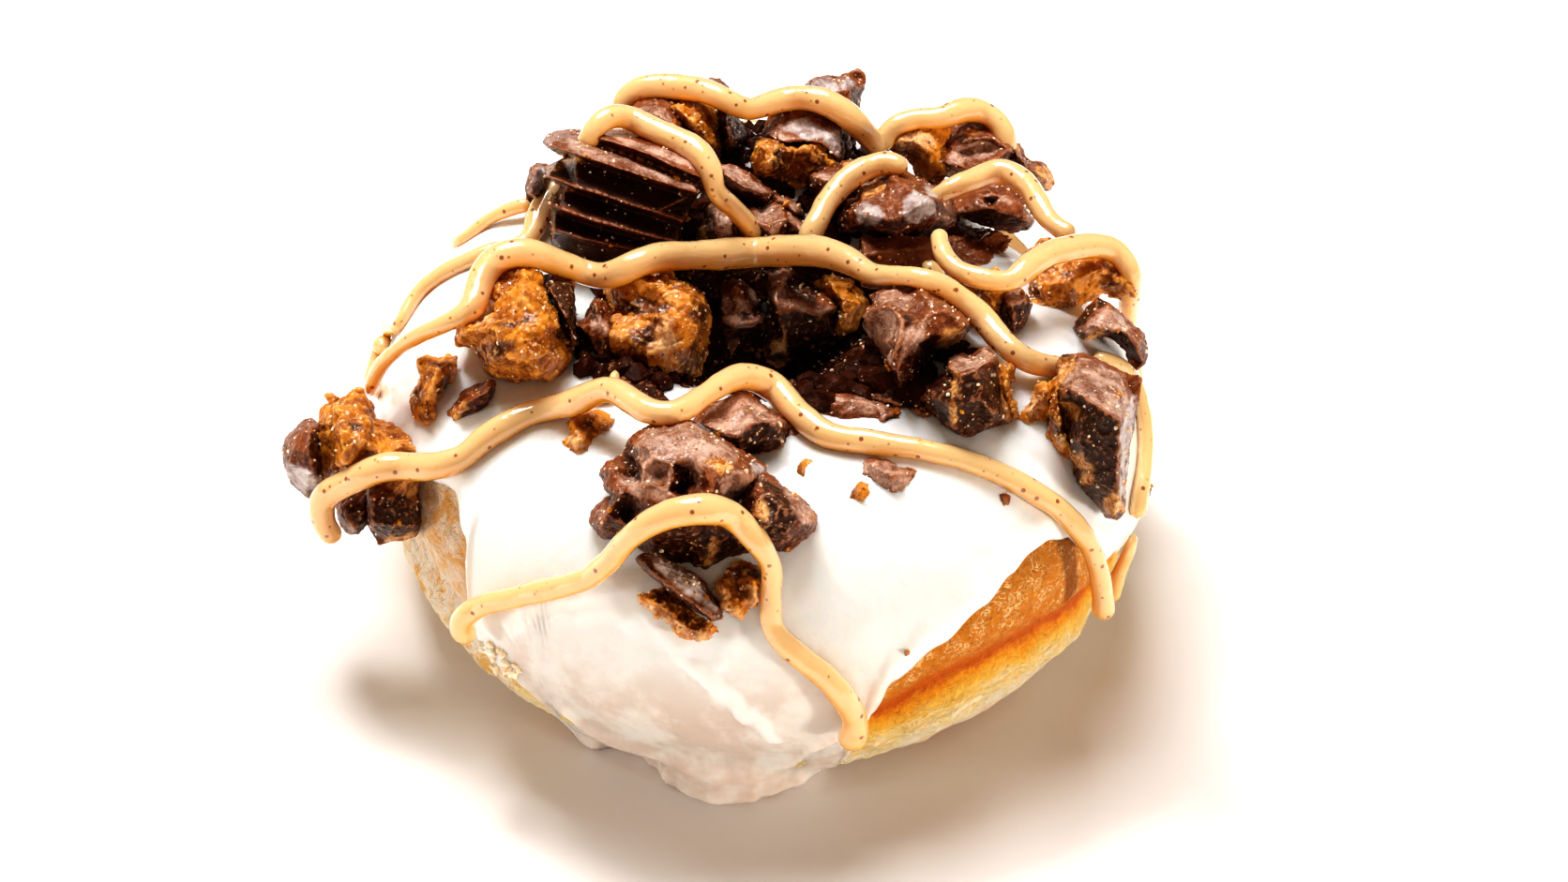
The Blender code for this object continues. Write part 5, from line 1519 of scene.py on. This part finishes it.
# Thin beds of chopped cup between the lumps, near black all over: painted shade where the gaps lie
# in shadow. A chocolate flake stands in for a shadow on the icing. Small bits lie loose on the
# icing: torn shreds and beads of filling, a crumb of a cup and flecks of chocolate. They are carved
# like the lumps, but lie flat, held by the glaze. Each has its kind, thickness, outline, crests, patches.
BITS = {
    "row_bed_left": (
        "crust",
        1.0,
        ((607, 352), (620, 346), (640, 350), (700, 350), (760, 350), (790, 362), (802, 384), (790, 398),
         (774, 414), (754, 436), (722, 446), (690, 442), (670, 424), (656, 402), (640, 396), (612, 392)),
        (((630, 372, 1.0), (660, 390, 1.0), (700, 416, 1.0), (740, 404, 1.0)),
         ((700, 380, 1.2),),
         ((770, 384, 1.0),)),
        {},
    ),
    "row_bed_right": (
        "crust",
        1.0,
        ((784, 388), (790, 370), (840, 360), (900, 360), (960, 368), (1000, 400), (1014, 432), (990, 446),
         (966, 436), (932, 428), (900, 430), (868, 442), (852, 424), (832, 402), (802, 390)),
        (((810, 382, 1.0), (850, 398, 1.0), (900, 404, 1.0), (960, 412, 1.0)), ((990, 430, 0.8),)),
        {},
    ),
    "row_bed_back": (
        "crust",
        0.9,
        ((640, 284), (700, 276), (780, 272), (860, 270), (920, 280), (990, 288), (1012, 316), (1004, 344),
         (960, 330), (900, 320), (830, 318), (740, 318), (650, 312)),
        (((670, 298, 1.0), (740, 292, 1.0), (820, 292, 1.0), (900, 298, 1.0), (980, 312, 1.0)),),
        {},
    ),
    # A smooth chocolate flake laid where the icing lies in the glossy block's shadow: a dark sheet that
    # stands in for that shadow.
    "shaded_flake": (
        "milk",
        0.9,
        ((1008, 240), (1026, 236), (1046, 240), (1064, 246), (1082, 254), (1072, 270), (1052, 284),
         (1030, 288), (1014, 272)),
        (((1020, 254, 1.0), (1044, 258, 1.0), (1060, 262, 0.9)),),
        {},
    ),
    "icing_curl": (
        "paste",
        1.6,
        ((603, 452), (610, 443), (622, 438), (636, 436), (650, 440), (658, 449), (652, 460), (640, 462),
         (632, 470), (628, 481), (616, 486), (604, 482), (601, 470), (608, 462)),
        (((612, 450, 1.0), (630, 444, 0.9), (646, 450, 1.0)), ((616, 470, 0.9),), ((630, 456, 0.3),)),
        {"dark": (((622, 446), (632, 446), (634, 456), (624, 458)),),
         "pale": (((606, 466), (618, 464), (624, 476), (612, 482)),)},
    ),
    "icing_shred": (
        "paste",
        0.7,
        ((845, 501), (852, 495), (858, 490), (867, 489), (868, 496), (859, 500), (861, 506), (867, 512),
         (858, 511), (850, 506)),
        (((856, 497, 1.0), (856, 504, 0.8)),),
        {},
    ),
    "icing_crumb": (
        "milk",
        1.6,
        ((918, 494), (928, 488), (938, 491), (948, 490), (958, 496), (968, 497), (976, 504), (972, 514),
         (964, 522), (962, 533), (950, 527), (940, 520), (928, 514), (920, 505)),
        (((932, 498, 0.9), (950, 506, 1.0), (964, 508, 0.8)),),
        {"pale": (((920, 492), (950, 492), (974, 504), (962, 528), (940, 518), (922, 506)),)},
    ),
    "icing_wet_bit": (
        "paste",
        0.9,
        ((904, 532), (908, 520), (916, 512), (926, 516), (928, 526), (920, 538), (912, 545), (905, 542)),
        (((914, 524, 1.0),),),
        {},
    ),
    "icing_speck_right": (
        "milk",
        0.4,
        ((1063, 526), (1072, 524), (1078, 530), (1075, 541), (1067, 537)),
        (((1071, 531, 1.0),),),
        {},
    ),
    "icing_speck_front": (
        "milk",
        0.3,
        ((962, 701), (964, 693), (969, 691), (971, 697), (967, 703)),
        (((967, 697, 1.0),),),
        {},
    ),
    "crumb_right_top": (
        "milk",
        0.7,
        ((1210, 440), (1215, 436), (1219, 442), (1217, 450), (1211, 449)),
        (((1215, 443, 1.0),),),
        {},
    ),
    "crumb_right_low": (
        "milk",
        0.8,
        ((1221, 516), (1227, 513), (1229, 522), (1226, 531), (1220, 529)),
        (((1225, 521, 1.0),),),
        {},
    ),
}
for number, (name, (kind, thick, outline, crests, patches)) in enumerate(BITS.items()):
    # A bed is dark all over: painted shade in the shadowed gaps.
    if kind == "crust":
        middle = middle_of(outline)
        edge = tuple((*middle.lerp(point, 0.88), 0.75) for point in map(Vector, outline))
        crests, patches = (*crests, edge), {"dark": (outline,)}
    bit = carve_lying(name, outline, crests, thick)
    finish_lump(bit, patches, number + 20, min(0.8, thick * 0.6))
    finish = {"crust": shaded, "milk": milk, "paste": paste}[kind]
    slot = "peanut_filling" if kind == "paste" else "milk_chocolate"
    chunk_pieces.append(settle(bit, finish, slot))


# The peanut butter drizzle: warm, runny peanut butter poured from a spoon in thin zigzag
# strands. They lie on the icing, climb over the chocolate and hang across the gaps between.
# Points seen from the front are pixels with the strand's width there; a fourth value says that
# the strand passes under the toppings. Points on the far side are azimuths and tube angles.
STRANDS = {
    "front_strand": (
        (),
        ((500, 683, 24), (492, 665, 23), (510, 648, 22), (560, 635, 22), (620, 620, 23), (650, 598, 23),
         (672, 573, 24), (705, 552, 28), (748, 543, 32), (780, 550, 28), (805, 575, 25), (822, 603, 22),
         (822, 640, 20), (824, 670, 22), (848, 697, 25), (885, 727, 25), (911, 765, 26), (907, 797, 30)),
        (),
    ),
    "middle_strand": (
        (),
        ((357, 576, 21), (345, 555, 23), (346, 530, 26), (375, 513, 26), (412, 498, 29), (460, 498, 26),
         (492, 488, 25), (522, 464, 25), (562, 442, 25), (610, 430, 26), (650, 415, 26), (690, 438, 25),
         (722, 440, 24), (752, 421, 23), (788, 402, 26), (822, 411, 28), (850, 439, 28), (880, 463, 26),
         (930, 472, 24), (980, 479, 22), (1030, 491, 21), (1080, 512, 22), (1130, 544, 21), (1161, 580, 21),
         (1174, 620, 20), (1177, 658, 24)),
        (),
    ),
    "row_strand": (
        ((173, 20, 20), (168, 14, 22), (172, 8, 23), (178, 9, 22)),
        ((395, 415, 14), (407, 388, 15), (440, 361, 16), (480, 343, 18), (505, 328, 25), (512, 299, 28),
         (530, 276, 28), (562, 269, 28), (600, 282, 26), (640, 295, 26), (668, 287, 28), (698, 275, 29),
         (760, 272, 30), (810, 269, 31), (860, 267, 30), (900, 275, 29), (930, 293, 21), (965, 294, 20),
         (1000, 302, 22), (1025, 319, 24), (1050, 341, 25), (1068, 364, 25), (1093, 384, 24),
         (1120, 391, 23, True), (1138, 392, 23, True)),
        (),
    ),
    "tall_block_strand": (
        (),
        ((1165, 383, 18, True), (1182, 386, 18, True), (1203, 398, 17, True), (1219, 440, 16, True),
         (1221, 490, 16, True), (1215, 530, 17, True), (1212, 552, 18)),
        (),
    ),
    "under_fluted_strand": (
        ((166, 12, 20), (170, 24, 19)),
        ((425, 350, 12), (445, 313, 15), (480, 287, 16), (520, 270, 18), (556, 262, 18),
         (568, 250, 21, True), (574, 230, 25, True), (588, 208, 26, True), (599, 190, 25, True),
         (614, 170, 22, True), (626, 150, 21, True)),
        (),
    ),
    "fluted_strand": (
        (),
        ((622, 160, 20, True), (628, 147, 21, True), (637, 134, 22), (648, 126, 24), (668, 124, 24),
         (700, 140, 25), (738, 158, 26), (757, 180, 25), (764, 205, 22), (785, 225, 21), (798, 240, 20),
         (806, 254, 18, True)),
        (),
    ),
    "left_slope_strand": (
        ((128, 8, 22), (133, -2, 22), (141, 4, 21), (149, 28, 20)),
        ((490, 258, 11), (524, 232, 12), (548, 222, 13), (566, 217, 13)),
        (),
    ),
    "back_strand": (
        ((125, -6, 24), (119, -9, 22), (112, 4, 21), (111, 28, 20)),
        ((660, 118, 21), (670, 100, 22), (695, 92, 24), (750, 96, 24), (775, 108, 22), (800, 117, 22),
         (830, 107, 24), (870, 105, 25), (903, 122, 26), (925, 145, 25), (940, 162, 22)),
        (),
    ),
    "back_right_strand": (
        (),
        ((938, 160, 21), (950, 137, 21), (975, 127, 22), (1005, 126, 22), (1030, 116, 24), (1055, 122, 22),
         (1072, 140, 22)),
        ((45, 30, 20), (37, 14, 21), (28, 10, 21), (22, 18, 20)),
    ),
    "far_strand": (
        ((96, -14, 25), (100, -4, 22), (99, 20, 21), (92, 38, 21), (85, 20, 21), (82, -2, 21)),
        (),
        ((75, -8, 21), (67, 2, 21), (63, 24, 21), (58, 36, 21), (53, 16, 22), (56, -6, 24)),
    ),
    "glossy_strand": (
        (),
        ((858, 262, 20, True), (868, 242, 22), (885, 212, 24), (908, 188, 24), (932, 176, 23),
         (952, 174, 22), (967, 182, 18)),
        (),
    ),
    "slab_strand": (
        (),
        ((984, 220, 14, True), (1000, 208, 16, True), (1016, 200, 20), (1035, 192, 23), (1065, 183, 23),
         (1092, 194, 23), (1107, 216, 22), (1120, 236, 20), (1145, 253, 19)),
        (),
    ),
    "right_strand": (
        (),
        ((1001, 246, 17, True), (1002, 256, 18, True), (1006, 272, 20), (1026, 291, 21), (1075, 301, 22),
         (1092, 287, 25), (1120, 270, 25), (1160, 262, 25), (1190, 267, 24), (1207, 290, 21)),
        ((14, 12, 20), (9, -2, 22), (4, -7, 24)),
    ),
    "short_strand": ((), ((985, 280, 18), (1005, 300, 18)), ()),
    "strand_peak": ((), ((600, 433, 8), (630, 426, 12), (650, 418, 20), (655, 406, 13), (656, 395, 7)), ()),
    "right_edge_strand": ((), ((1210, 570, 8), (1203, 590, 12), (1192, 615, 14), (1186, 640, 14)), ()),
}
STRAND_STEP = 0.3
STRAND_FULLNESS = 1.1
USUAL_DEPTH = 240.0
NEAREST_DEPTH, FARTHEST_DEPTH = 170.0, 300.0
# How high a strand's middle lies over what is under it, as a share of its radius
SEEN_LIFT = 0.72
FAR_LIFT = 0.66
# How a strand hangs from where it rests: its bend at first, and its slope further off
HANG_BEND = 0.28
HANG_SLOPE = 0.9


def through_points(points, step):
    """Even points on a smooth line through rows of numbers; the first two are a place."""
    points = np.array(points, float)
    padded = np.vstack([2 * points[0] - points[1], points, 2 * points[-1] - points[-2]])
    rows = []
    for before, start, end, after in zip(padded, padded[1:], padded[2:], padded[3:]):
        count = max(2, int(np.hypot(*(end - start)[:2]) / step))
        share = np.linspace(0, 1, count, endpoint=False)[:, None]
        rows.append(
            0.5 * (
                2 * start + (end - before) * share
                + (2 * before - 5 * start + 4 * end - after) * share ** 2
                + (3 * start - before - 3 * end + after) * share ** 3
            )
        )
    return np.vstack([*rows, points[-1:]])


def even_out(values, width):
    """Values along a line, each blended with its neighbours, the ends kept."""
    reach = int(width * 3) + 1
    weights = np.exp(-0.5 * (np.arange(-reach, reach + 1) / width) ** 2)
    weights /= weights.sum()
    padded = np.vstack(
        [
            2 * values[:1] - values[1 : reach + 1][::-1], values,
            2 * values[-1:] - values[-reach - 1 : -1][::-1],
        ]
    )
    return np.stack([np.convolve(column, weights, "valid") for column in padded.T], axis=1)


all_tops = surface_tree([icing, dough, *chunk_pieces])


def rest_depth(tree, way, radius):
    """How far a ball can travel from the camera before it rests on a surface, or None."""
    depth = NEAREST_DEPTH
    for _ in range(60):
        near = tree.find_nearest(eye + way * depth)[3]
        if near < radius * 1.02:
            return depth
        depth += near - radius
        if depth > FARTHEST_DEPTH:
            return None
    return depth


def seen_route(points):
    """Places and radii of a strand that is given by pixels, laid on what is under it."""
    rows = through_points([(*point[:3], float(len(point) > 3)) for point in points], 4.0)
    ways = [line_of_sight(row[0], row[1]) for row in rows]
    radii = rows[:, 2] * STRAND_FULLNESS / 2 * USUAL_DEPTH / FOCAL_PIXELS
    depths = np.array(
        [
            rest_depth(bare_tops if row[3] > 0.5 else all_tops, way, radius * SEEN_LIFT) or np.nan
            for row, way, radius in zip(rows, ways, radii)
        ]
    )
    steps = np.hypot(*np.diff(rows[:, :2], axis=0).T) * USUAL_DEPTH / FOCAL_PIXELS
    along = np.concatenate([[0.0], np.cumsum(steps)])
    apart = np.abs(along[:, None] - along[None, :])
    bend = HANG_SLOPE / (2 * HANG_BEND)
    fall = np.where(apart < bend, HANG_BEND * apart ** 2, HANG_SLOPE * (apart - bend / 2))
    hung = np.nanmin(depths[None, :] + fall, axis=1)
    hung = even_out(hung[:, None], 2.0)[:, 0]
    hung = np.fmin(hung, depths)
    hung = even_out(hung[:, None], 1.5)[:, 0]
    return np.array([eye + way * depth for way, depth in zip(ways, hung)]), radii * hung / USUAL_DEPTH


def far_route(points):
    """Places and radii of a strand that is given by azimuth and tube angle on the icing."""
    rows = through_points(points, 1.5)
    radii = rows[:, 2] * STRAND_FULLNESS / 2 * USUAL_DEPTH / FOCAL_PIXELS
    radius, height = ring_point(rows[:, 0], rows[:, 1], radii * 0.7)
    turn = np.radians(rows[:, 0])
    places = [radius * np.cos(turn) + RING_AXIS.x / MM, radius * np.sin(turn) + RING_AXIS.y / MM, height]
    return push_clear(np.stack(places, axis=1), radii), radii


def push_clear(places, radii):
    """Lift a strand out of what it would sink into."""
    for _ in range(6):
        for index, radius in enumerate(radii):
            place = Vector(places[index])
            spot, normal, _face, near = all_tops.find_nearest(place)
            inside = (place - spot).dot(normal) < 0
            lack = radius * FAR_LIFT + near if inside else radius * FAR_LIFT - near
            if lack > 0:
                places[index] += np.array(normal * min(lack, 0.4))
        places = even_out(places, 1.2)
    return places


drizzle = Finish(
    "peanut_drizzle", Subsurface_Weight=0.5, Subsurface_Radius=(1.0, 0.65, 0.30), Subsurface_Scale=0.0024,
    IOR=1.5, Specular_IOR_Level=0.6, Coat_Weight=1.0, Coat_Roughness=0.08, Coat_IOR=1.85,
)
cloud = drizzle.noise(drizzle.place, 2.4, 3.0, 0.55)
# Painted light and shade: peach where the strand faces up, golden where it faces down.
up = drizzle.attribute("up") + (cloud - 0.5) * 0.5
base = drizzle.mix(up.step(-0.65, 0.5), (0.86, 0.39, 0.022), (0.95, 0.63, 0.33))
keep = drizzle.noise(drizzle.place, 1.1, 2.0).step(0.46, 0.56)
base = drizzle.mix(drizzle.dots(drizzle.place, 0.9, 0.07, 0.20) * keep, base, (0.52, 0.22, 0.055))
brown = drizzle.dots(drizzle.place, 1.35, 0.10, 0.18) * 0.9
drizzle.feed("Base Color", drizzle.mix(brown, base, (0.30, 0.07, 0.014)))
drizzle.feed("Roughness", 0.16 + cloud * 0.14)
drizzle.bumps((cloud, 0.16), (drizzle.noise(drizzle.place, 0.7, 3.0), 0.05))


def node_group(name, inputs):
    """An open Geometry Nodes group: its tree, its inputs' identifiers and a wire from each."""
    group = bpy.data.node_groups.new(name, "GeometryNodeTree")
    sockets = {
        label: group.interface.new_socket(label, in_out="INPUT", socket_type=kind).identifier
        for label, kind in inputs
    }
    group.interface.new_socket("Geometry", in_out="OUTPUT", socket_type="NodeSocketGeometry")
    given = group.nodes.new("NodeGroupInput")
    tree = Tree(group)
    return tree, sockets, [Wire(tree, given.outputs[label]) for label in sockets]


def close_group(tree, result):
    """Link a node group's result to its output."""
    out = tree.tree.nodes.new("NodeGroupOutput")
    tree.tree.links.new(result.socket, out.inputs["Geometry"])


def strand_builder():
    """Geometry Nodes: a round strand along a line, a little uneven, in its finish."""
    tree, sockets, (line, sides, uneven, wave, finish) = node_group(
        "drizzle_strand",
        (
            ("Geometry", "NodeSocketGeometry"), ("Sides", "NodeSocketInt"),
            ("Unevenness", "NodeSocketFloat"), ("Wave size", "NodeSocketFloat"),
            ("Finish", "NodeSocketMaterial"),
        ),
    )
    profile = tree.add("GeometryNodeCurvePrimitiveCircle", None, {"Resolution": sides, "Radius": 1.0})
    width = tree.add("GeometryNodeInputRadius")
    tube = tree.add(
        "GeometryNodeCurveToMesh", None,
        {"Curve": line, "Profile Curve": profile, "Scale": width, "Fill Caps": True},
    )
    cloud = tree.add(
        "ShaderNodeTexNoise", None,
        {"Vector": tree.add("GeometryNodeInputPosition"), "Scale": 1.0 / wave, "Detail": 1.0},
    )
    normal = tree.add("GeometryNodeInputNormal")
    shift = tree.add(
        "ShaderNodeVectorMath", {"operation": "SCALE"}, {0: normal, "Scale": (cloud - 0.5) * 2.0 * uneven}
    )
    tube = tree.add("GeometryNodeSetPosition", None, {"Geometry": tube, "Offset": shift})
    tube = tree.add("GeometryNodeSetShadeSmooth", None, {"Geometry": tube})
    tube = tree.add("GeometryNodeRealizeInstances", None, {"Geometry": tube})
    close_group(tree, tree.add("GeometryNodeSetMaterial", None, {"Geometry": tube, "Material": finish}))
    return tree.tree, sockets


strand_group, strand_sockets = strand_builder()


def run_nodes(holder, group, sockets, name, **values):
    """The plain mesh that a node group makes of an object, as a new object."""
    step = holder.modifiers.new("make", "NODES")
    step.node_group = group
    for key, value in values.items():
        step[sockets[key.replace("_", " ")]] = value
    mesh = bpy.data.meshes.new_from_object(holder.evaluated_get(bpy.context.evaluated_depsgraph_get()))
    mesh.name = name
    holder.modifiers.clear()
    bpy.data.objects.remove(holder)
    return new_object(name, mesh)


def resampled(places, radii, step):
    """The same line with even points."""
    along = np.concatenate([[0.0], np.cumsum(np.linalg.norm(np.diff(places, axis=0), axis=1))])
    marks = np.linspace(0.0, along[-1], max(4, int(along[-1] / step)))
    evened = np.stack([np.interp(marks, along, column) for column in places.T], axis=1)
    return evened, np.interp(marks, along, radii), marks


STRAND_SIDES = 20
STRAND_UNEVENNESS = 0.10
STRAND_WAVES = 2.2
WIDTH_UNEVENNESS = 0.10
WIDTH_WAVES = 3.5
SHORTEST_EVENED = 30
for number, (name, (before, seen, after)) in enumerate(STRANDS.items()):
    parts = []
    for points, route in ((before, far_route), (seen, seen_route), (after, far_route)):
        if points:
            parts.append(route(points))
    places = np.vstack([part[0] for part in parts])
    radii = np.concatenate([part[1] for part in parts])
    places, radii, marks = resampled(places, radii, STRAND_STEP)
    if len(places) > SHORTEST_EVENED:
        places = even_out(places, 2.5 if len(parts) > 1 else 1.2)
        places, radii, marks = resampled(places, radii, STRAND_STEP)
    waver = [noise.noise(Vector((mark / WIDTH_WAVES, number * 7.1, 0.0))) for mark in marks]
    radii = radii * (1.0 + WIDTH_UNEVENNESS * np.array(waver))
    to_end = np.minimum(marks, marks[-1] - marks)
    radii = radii * np.sqrt(np.clip(1.0 - (1.0 - np.clip(to_end / radii, 0.02, 1.0)) ** 2, 0.0, 1.0))
    curve = bpy.data.curves.new(name + "_line", "CURVE")
    curve.dimensions = "3D"
    line = curve.splines.new("POLY")
    line.points.add(len(places) - 1)
    line.points.foreach_set("co", np.hstack([places * MM, np.ones((len(places), 1))]).ravel())
    line.points.foreach_set("radius", radii * MM)
    strand = run_nodes(
        new_object(name + "_line", curve), strand_group, strand_sockets, name,
        Sides=STRAND_SIDES, Unevenness=STRAND_UNEVENNESS * MM, Wave_size=STRAND_WAVES * MM,
        Finish=drizzle.material,
    )
    # Which way each point faces, for the painted light and shade on the strand.
    store(strand, "up", normals_of(strand)[:, 2])
    settle(strand, drizzle, "peanut_drizzle")


# The litter of the chopped cups: chocolate crumbs between the lumps and down in the hole, toned
# dark as painted shade where the gaps and the hole lie in shadow, bits of filling, pale flecks of
# sugar and salt on everything, and a few flakes of set icing at the left end of the skirt. All of
# it is stuck in the wet icing. Beds are outlines of pixels.
LITTER_BEDS = {
    "back": (
        (600, 110), (680, 92), (900, 100), (1080, 150), (1120, 195), (1040, 228), (1000, 258), (900, 255),
        (700, 262), (600, 240), (580, 190),
    ),
    "row": (
        (645, 300), (930, 300), (1000, 315), (1050, 400), (1075, 440), (1010, 440), (985, 425), (850, 420),
        (760, 415), (700, 415), (625, 395), (618, 350),
    ),
    "hole": ((760, 385), (860, 372), (990, 372), (985, 425), (880, 432), (790, 425)),
    "flakes": ((510, 682), (532, 690), (556, 714), (546, 722), (522, 712)),
}
FLAKE_COUNT = 26
POINTS_PER_FLECK = 110
POINTS_PER_CRUMB = 3000


def bed_spots(outline, count, rng):
    """Random places on the icing or the dough that are seen inside an outline of pixels."""
    across, down = zip(*outline)
    spots = []
    while len(spots) < count:
        pixel = rng.uniform(min(across), max(across)), rng.uniform(min(down), max(down))
        if inside_outline(*np.array(pixel), outline):
            spot = bare_tops.ray_cast(eye, line_of_sight(*pixel))[0]
            if spot:
                spots.append(spot)
    return spots


def litter_builder():
    """Geometry Nodes: rough bits of random size and turn at given points, made one mesh."""
    tree, sockets, (points, fineness, seed, ragged, wave, finish) = node_group(
        "litter",
        (
            ("Geometry", "NodeSocketGeometry"), ("Fineness", "NodeSocketInt"), ("Seed", "NodeSocketInt"),
            ("Raggedness", "NodeSocketFloat"), ("Wave size", "NodeSocketFloat"),
            ("Finish", "NodeSocketMaterial"),
        ),
    )
    bit = tree.add("GeometryNodeMeshIcoSphere", None, {"Radius": 1.0, "Subdivisions": fineness})
    vector = {"data_type": "FLOAT_VECTOR"}
    turn = tree.add(
        "FunctionNodeRandomValue", vector, {0: (0.0, 0.0, 0.0), 1: (6.28, 6.28, 6.28), "Seed": seed}
    )
    stretch = tree.add(
        "FunctionNodeRandomValue", vector, {0: (0.6, 0.6, 0.45), 1: (1.3, 1.1, 0.9), "Seed": seed + 1}
    )
    size = tree.add("GeometryNodeInputNamedAttribute", {"data_type": "FLOAT"}, {"Name": "size"})
    scale = tree.add("ShaderNodeVectorMath", {"operation": "SCALE"}, {0: stretch, "Scale": size})
    bits = tree.add(
        "GeometryNodeInstanceOnPoints", None,
        {"Points": points, "Instance": bit, "Rotation": turn, "Scale": scale},
    )
    bits = tree.add("GeometryNodeRealizeInstances", None, {"Geometry": bits})
    cloud = tree.add(
        "ShaderNodeTexNoise", None,
        {"Vector": tree.add("GeometryNodeInputPosition"), "Scale": 1.0 / wave, "Detail": 2.0}, output=1,
    )
    middle = tree.vector("SUBTRACT", cloud, (0.5, 0.5, 0.5))
    shift = tree.add("ShaderNodeVectorMath", {"operation": "SCALE"}, {0: middle, "Scale": ragged})
    bits = tree.add("GeometryNodeSetPosition", None, {"Geometry": bits, "Offset": shift})
    bits = tree.add("GeometryNodeSetShadeSmooth", None, {"Geometry": bits, "Shade Smooth": False})
    close_group(tree, tree.add("GeometryNodeSetMaterial", None, {"Geometry": bits, "Material": finish}))
    return tree.tree, sockets


litter_group, litter_sockets = litter_builder()


def strew(name, spots, sizes, finish, slot, fineness, ragged, wave, seed):
    """One mesh of bits at places in millimetres."""
    cloud = bpy.data.meshes.new(name + "_points")
    cloud.from_pydata([Vector(spot) * MM for spot in spots], [], [])
    holder = new_object(name + "_points", cloud)
    store(holder, "size", np.asarray(sizes) * MM)
    bits = run_nodes(
        holder, litter_group, litter_sockets, name, Fineness=fineness, Seed=seed,
        Raggedness=ragged * MM, Wave_size=wave * MM, Finish=finish.material,
    )
    # Crumbs in the dull chocolate carry the painted shade tone; other bits carry no tones.
    for tone in TONES:
        value = 0.75 if tone == "dark" and finish is shaded else 0.0
        store(bits, tone, np.full(len(bits.data.vertices), value))
    return settle(bits, finish, slot)


rng = np.random.default_rng(7)
for bed, count, small, large, seed in (
    ("back", 480, 0.5, 1.6, 4), ("row", 380, 0.6, 1.7, 3), ("hole", 120, 1.0, 2.2, 4),
):
    spots = bed_spots(LITTER_BEDS[bed], count, rng)
    sizes = rng.uniform(small, large, count) * rng.uniform(0.6, 1.0, count)
    strew(
        bed + "_crumbs", spots, sizes, shaded, "milk_chocolate", fineness=2, ragged=1.5, wave=0.9, seed=seed
    )
flecks = Finish("pale_flecks", Roughness=0.4)
golden = flecks.noise(flecks.place, 0.8).step(0.4, 0.6)
flecks.feed("Base Color", flecks.mix(golden, (1.0, 0.90, 0.74), (0.88, 0.60, 0.34)))
flakes = Finish("icing_flakes", Roughness=0.4, Subsurface_Weight=0.3, Subsurface_Scale=0.001)
whiter = flakes.noise(flakes.place, 0.9).step(0.4, 0.6)
flakes.feed("Base Color", flakes.mix(whiter, (1.0, 0.77, 0.53), (1.0, 0.90, 0.80)))
spots = bed_spots(LITTER_BEDS["flakes"], FLAKE_COUNT, rng)
sizes = rng.uniform(0.25, 0.6, FLAKE_COUNT)
strew("icing_edge_flakes", spots, sizes, flakes, "icing", fineness=2, ragged=0.6, wave=0.5, seed=5)
spots, sizes = [], []
for chunk in chunk_pieces:
    places, normals = spots_of(chunk), normals_of(chunk)
    upper = np.flatnonzero(normals[:, 2] > -0.2)
    picked = rng.choice(upper, max(2, len(upper) // POINTS_PER_FLECK), replace=False)
    spots.extend((places[picked] + normals[picked] * 0.02).tolist())
    sizes.extend((0.06 + 0.16 * rng.uniform(0.0, 1.0, len(picked)) ** 2).tolist())
strew("sugar_flecks", spots, sizes, flecks, "peanut_filling", fineness=1, ragged=0.08, wave=0.1, seed=3)
spots, sizes = [], []
for chunk in chunk_pieces:
    places = spots_of(chunk)
    picked = rng.choice(len(places), max(1, len(places) // POINTS_PER_CRUMB), replace=False)
    spots.extend(places[picked].tolist())
    sizes.extend(rng.uniform(0.12, 0.34, len(picked)).tolist())
strew("filling_crumbs", spots, sizes, paste, "peanut_filling", fineness=2, ragged=0.5, wave=0.35, seed=11)
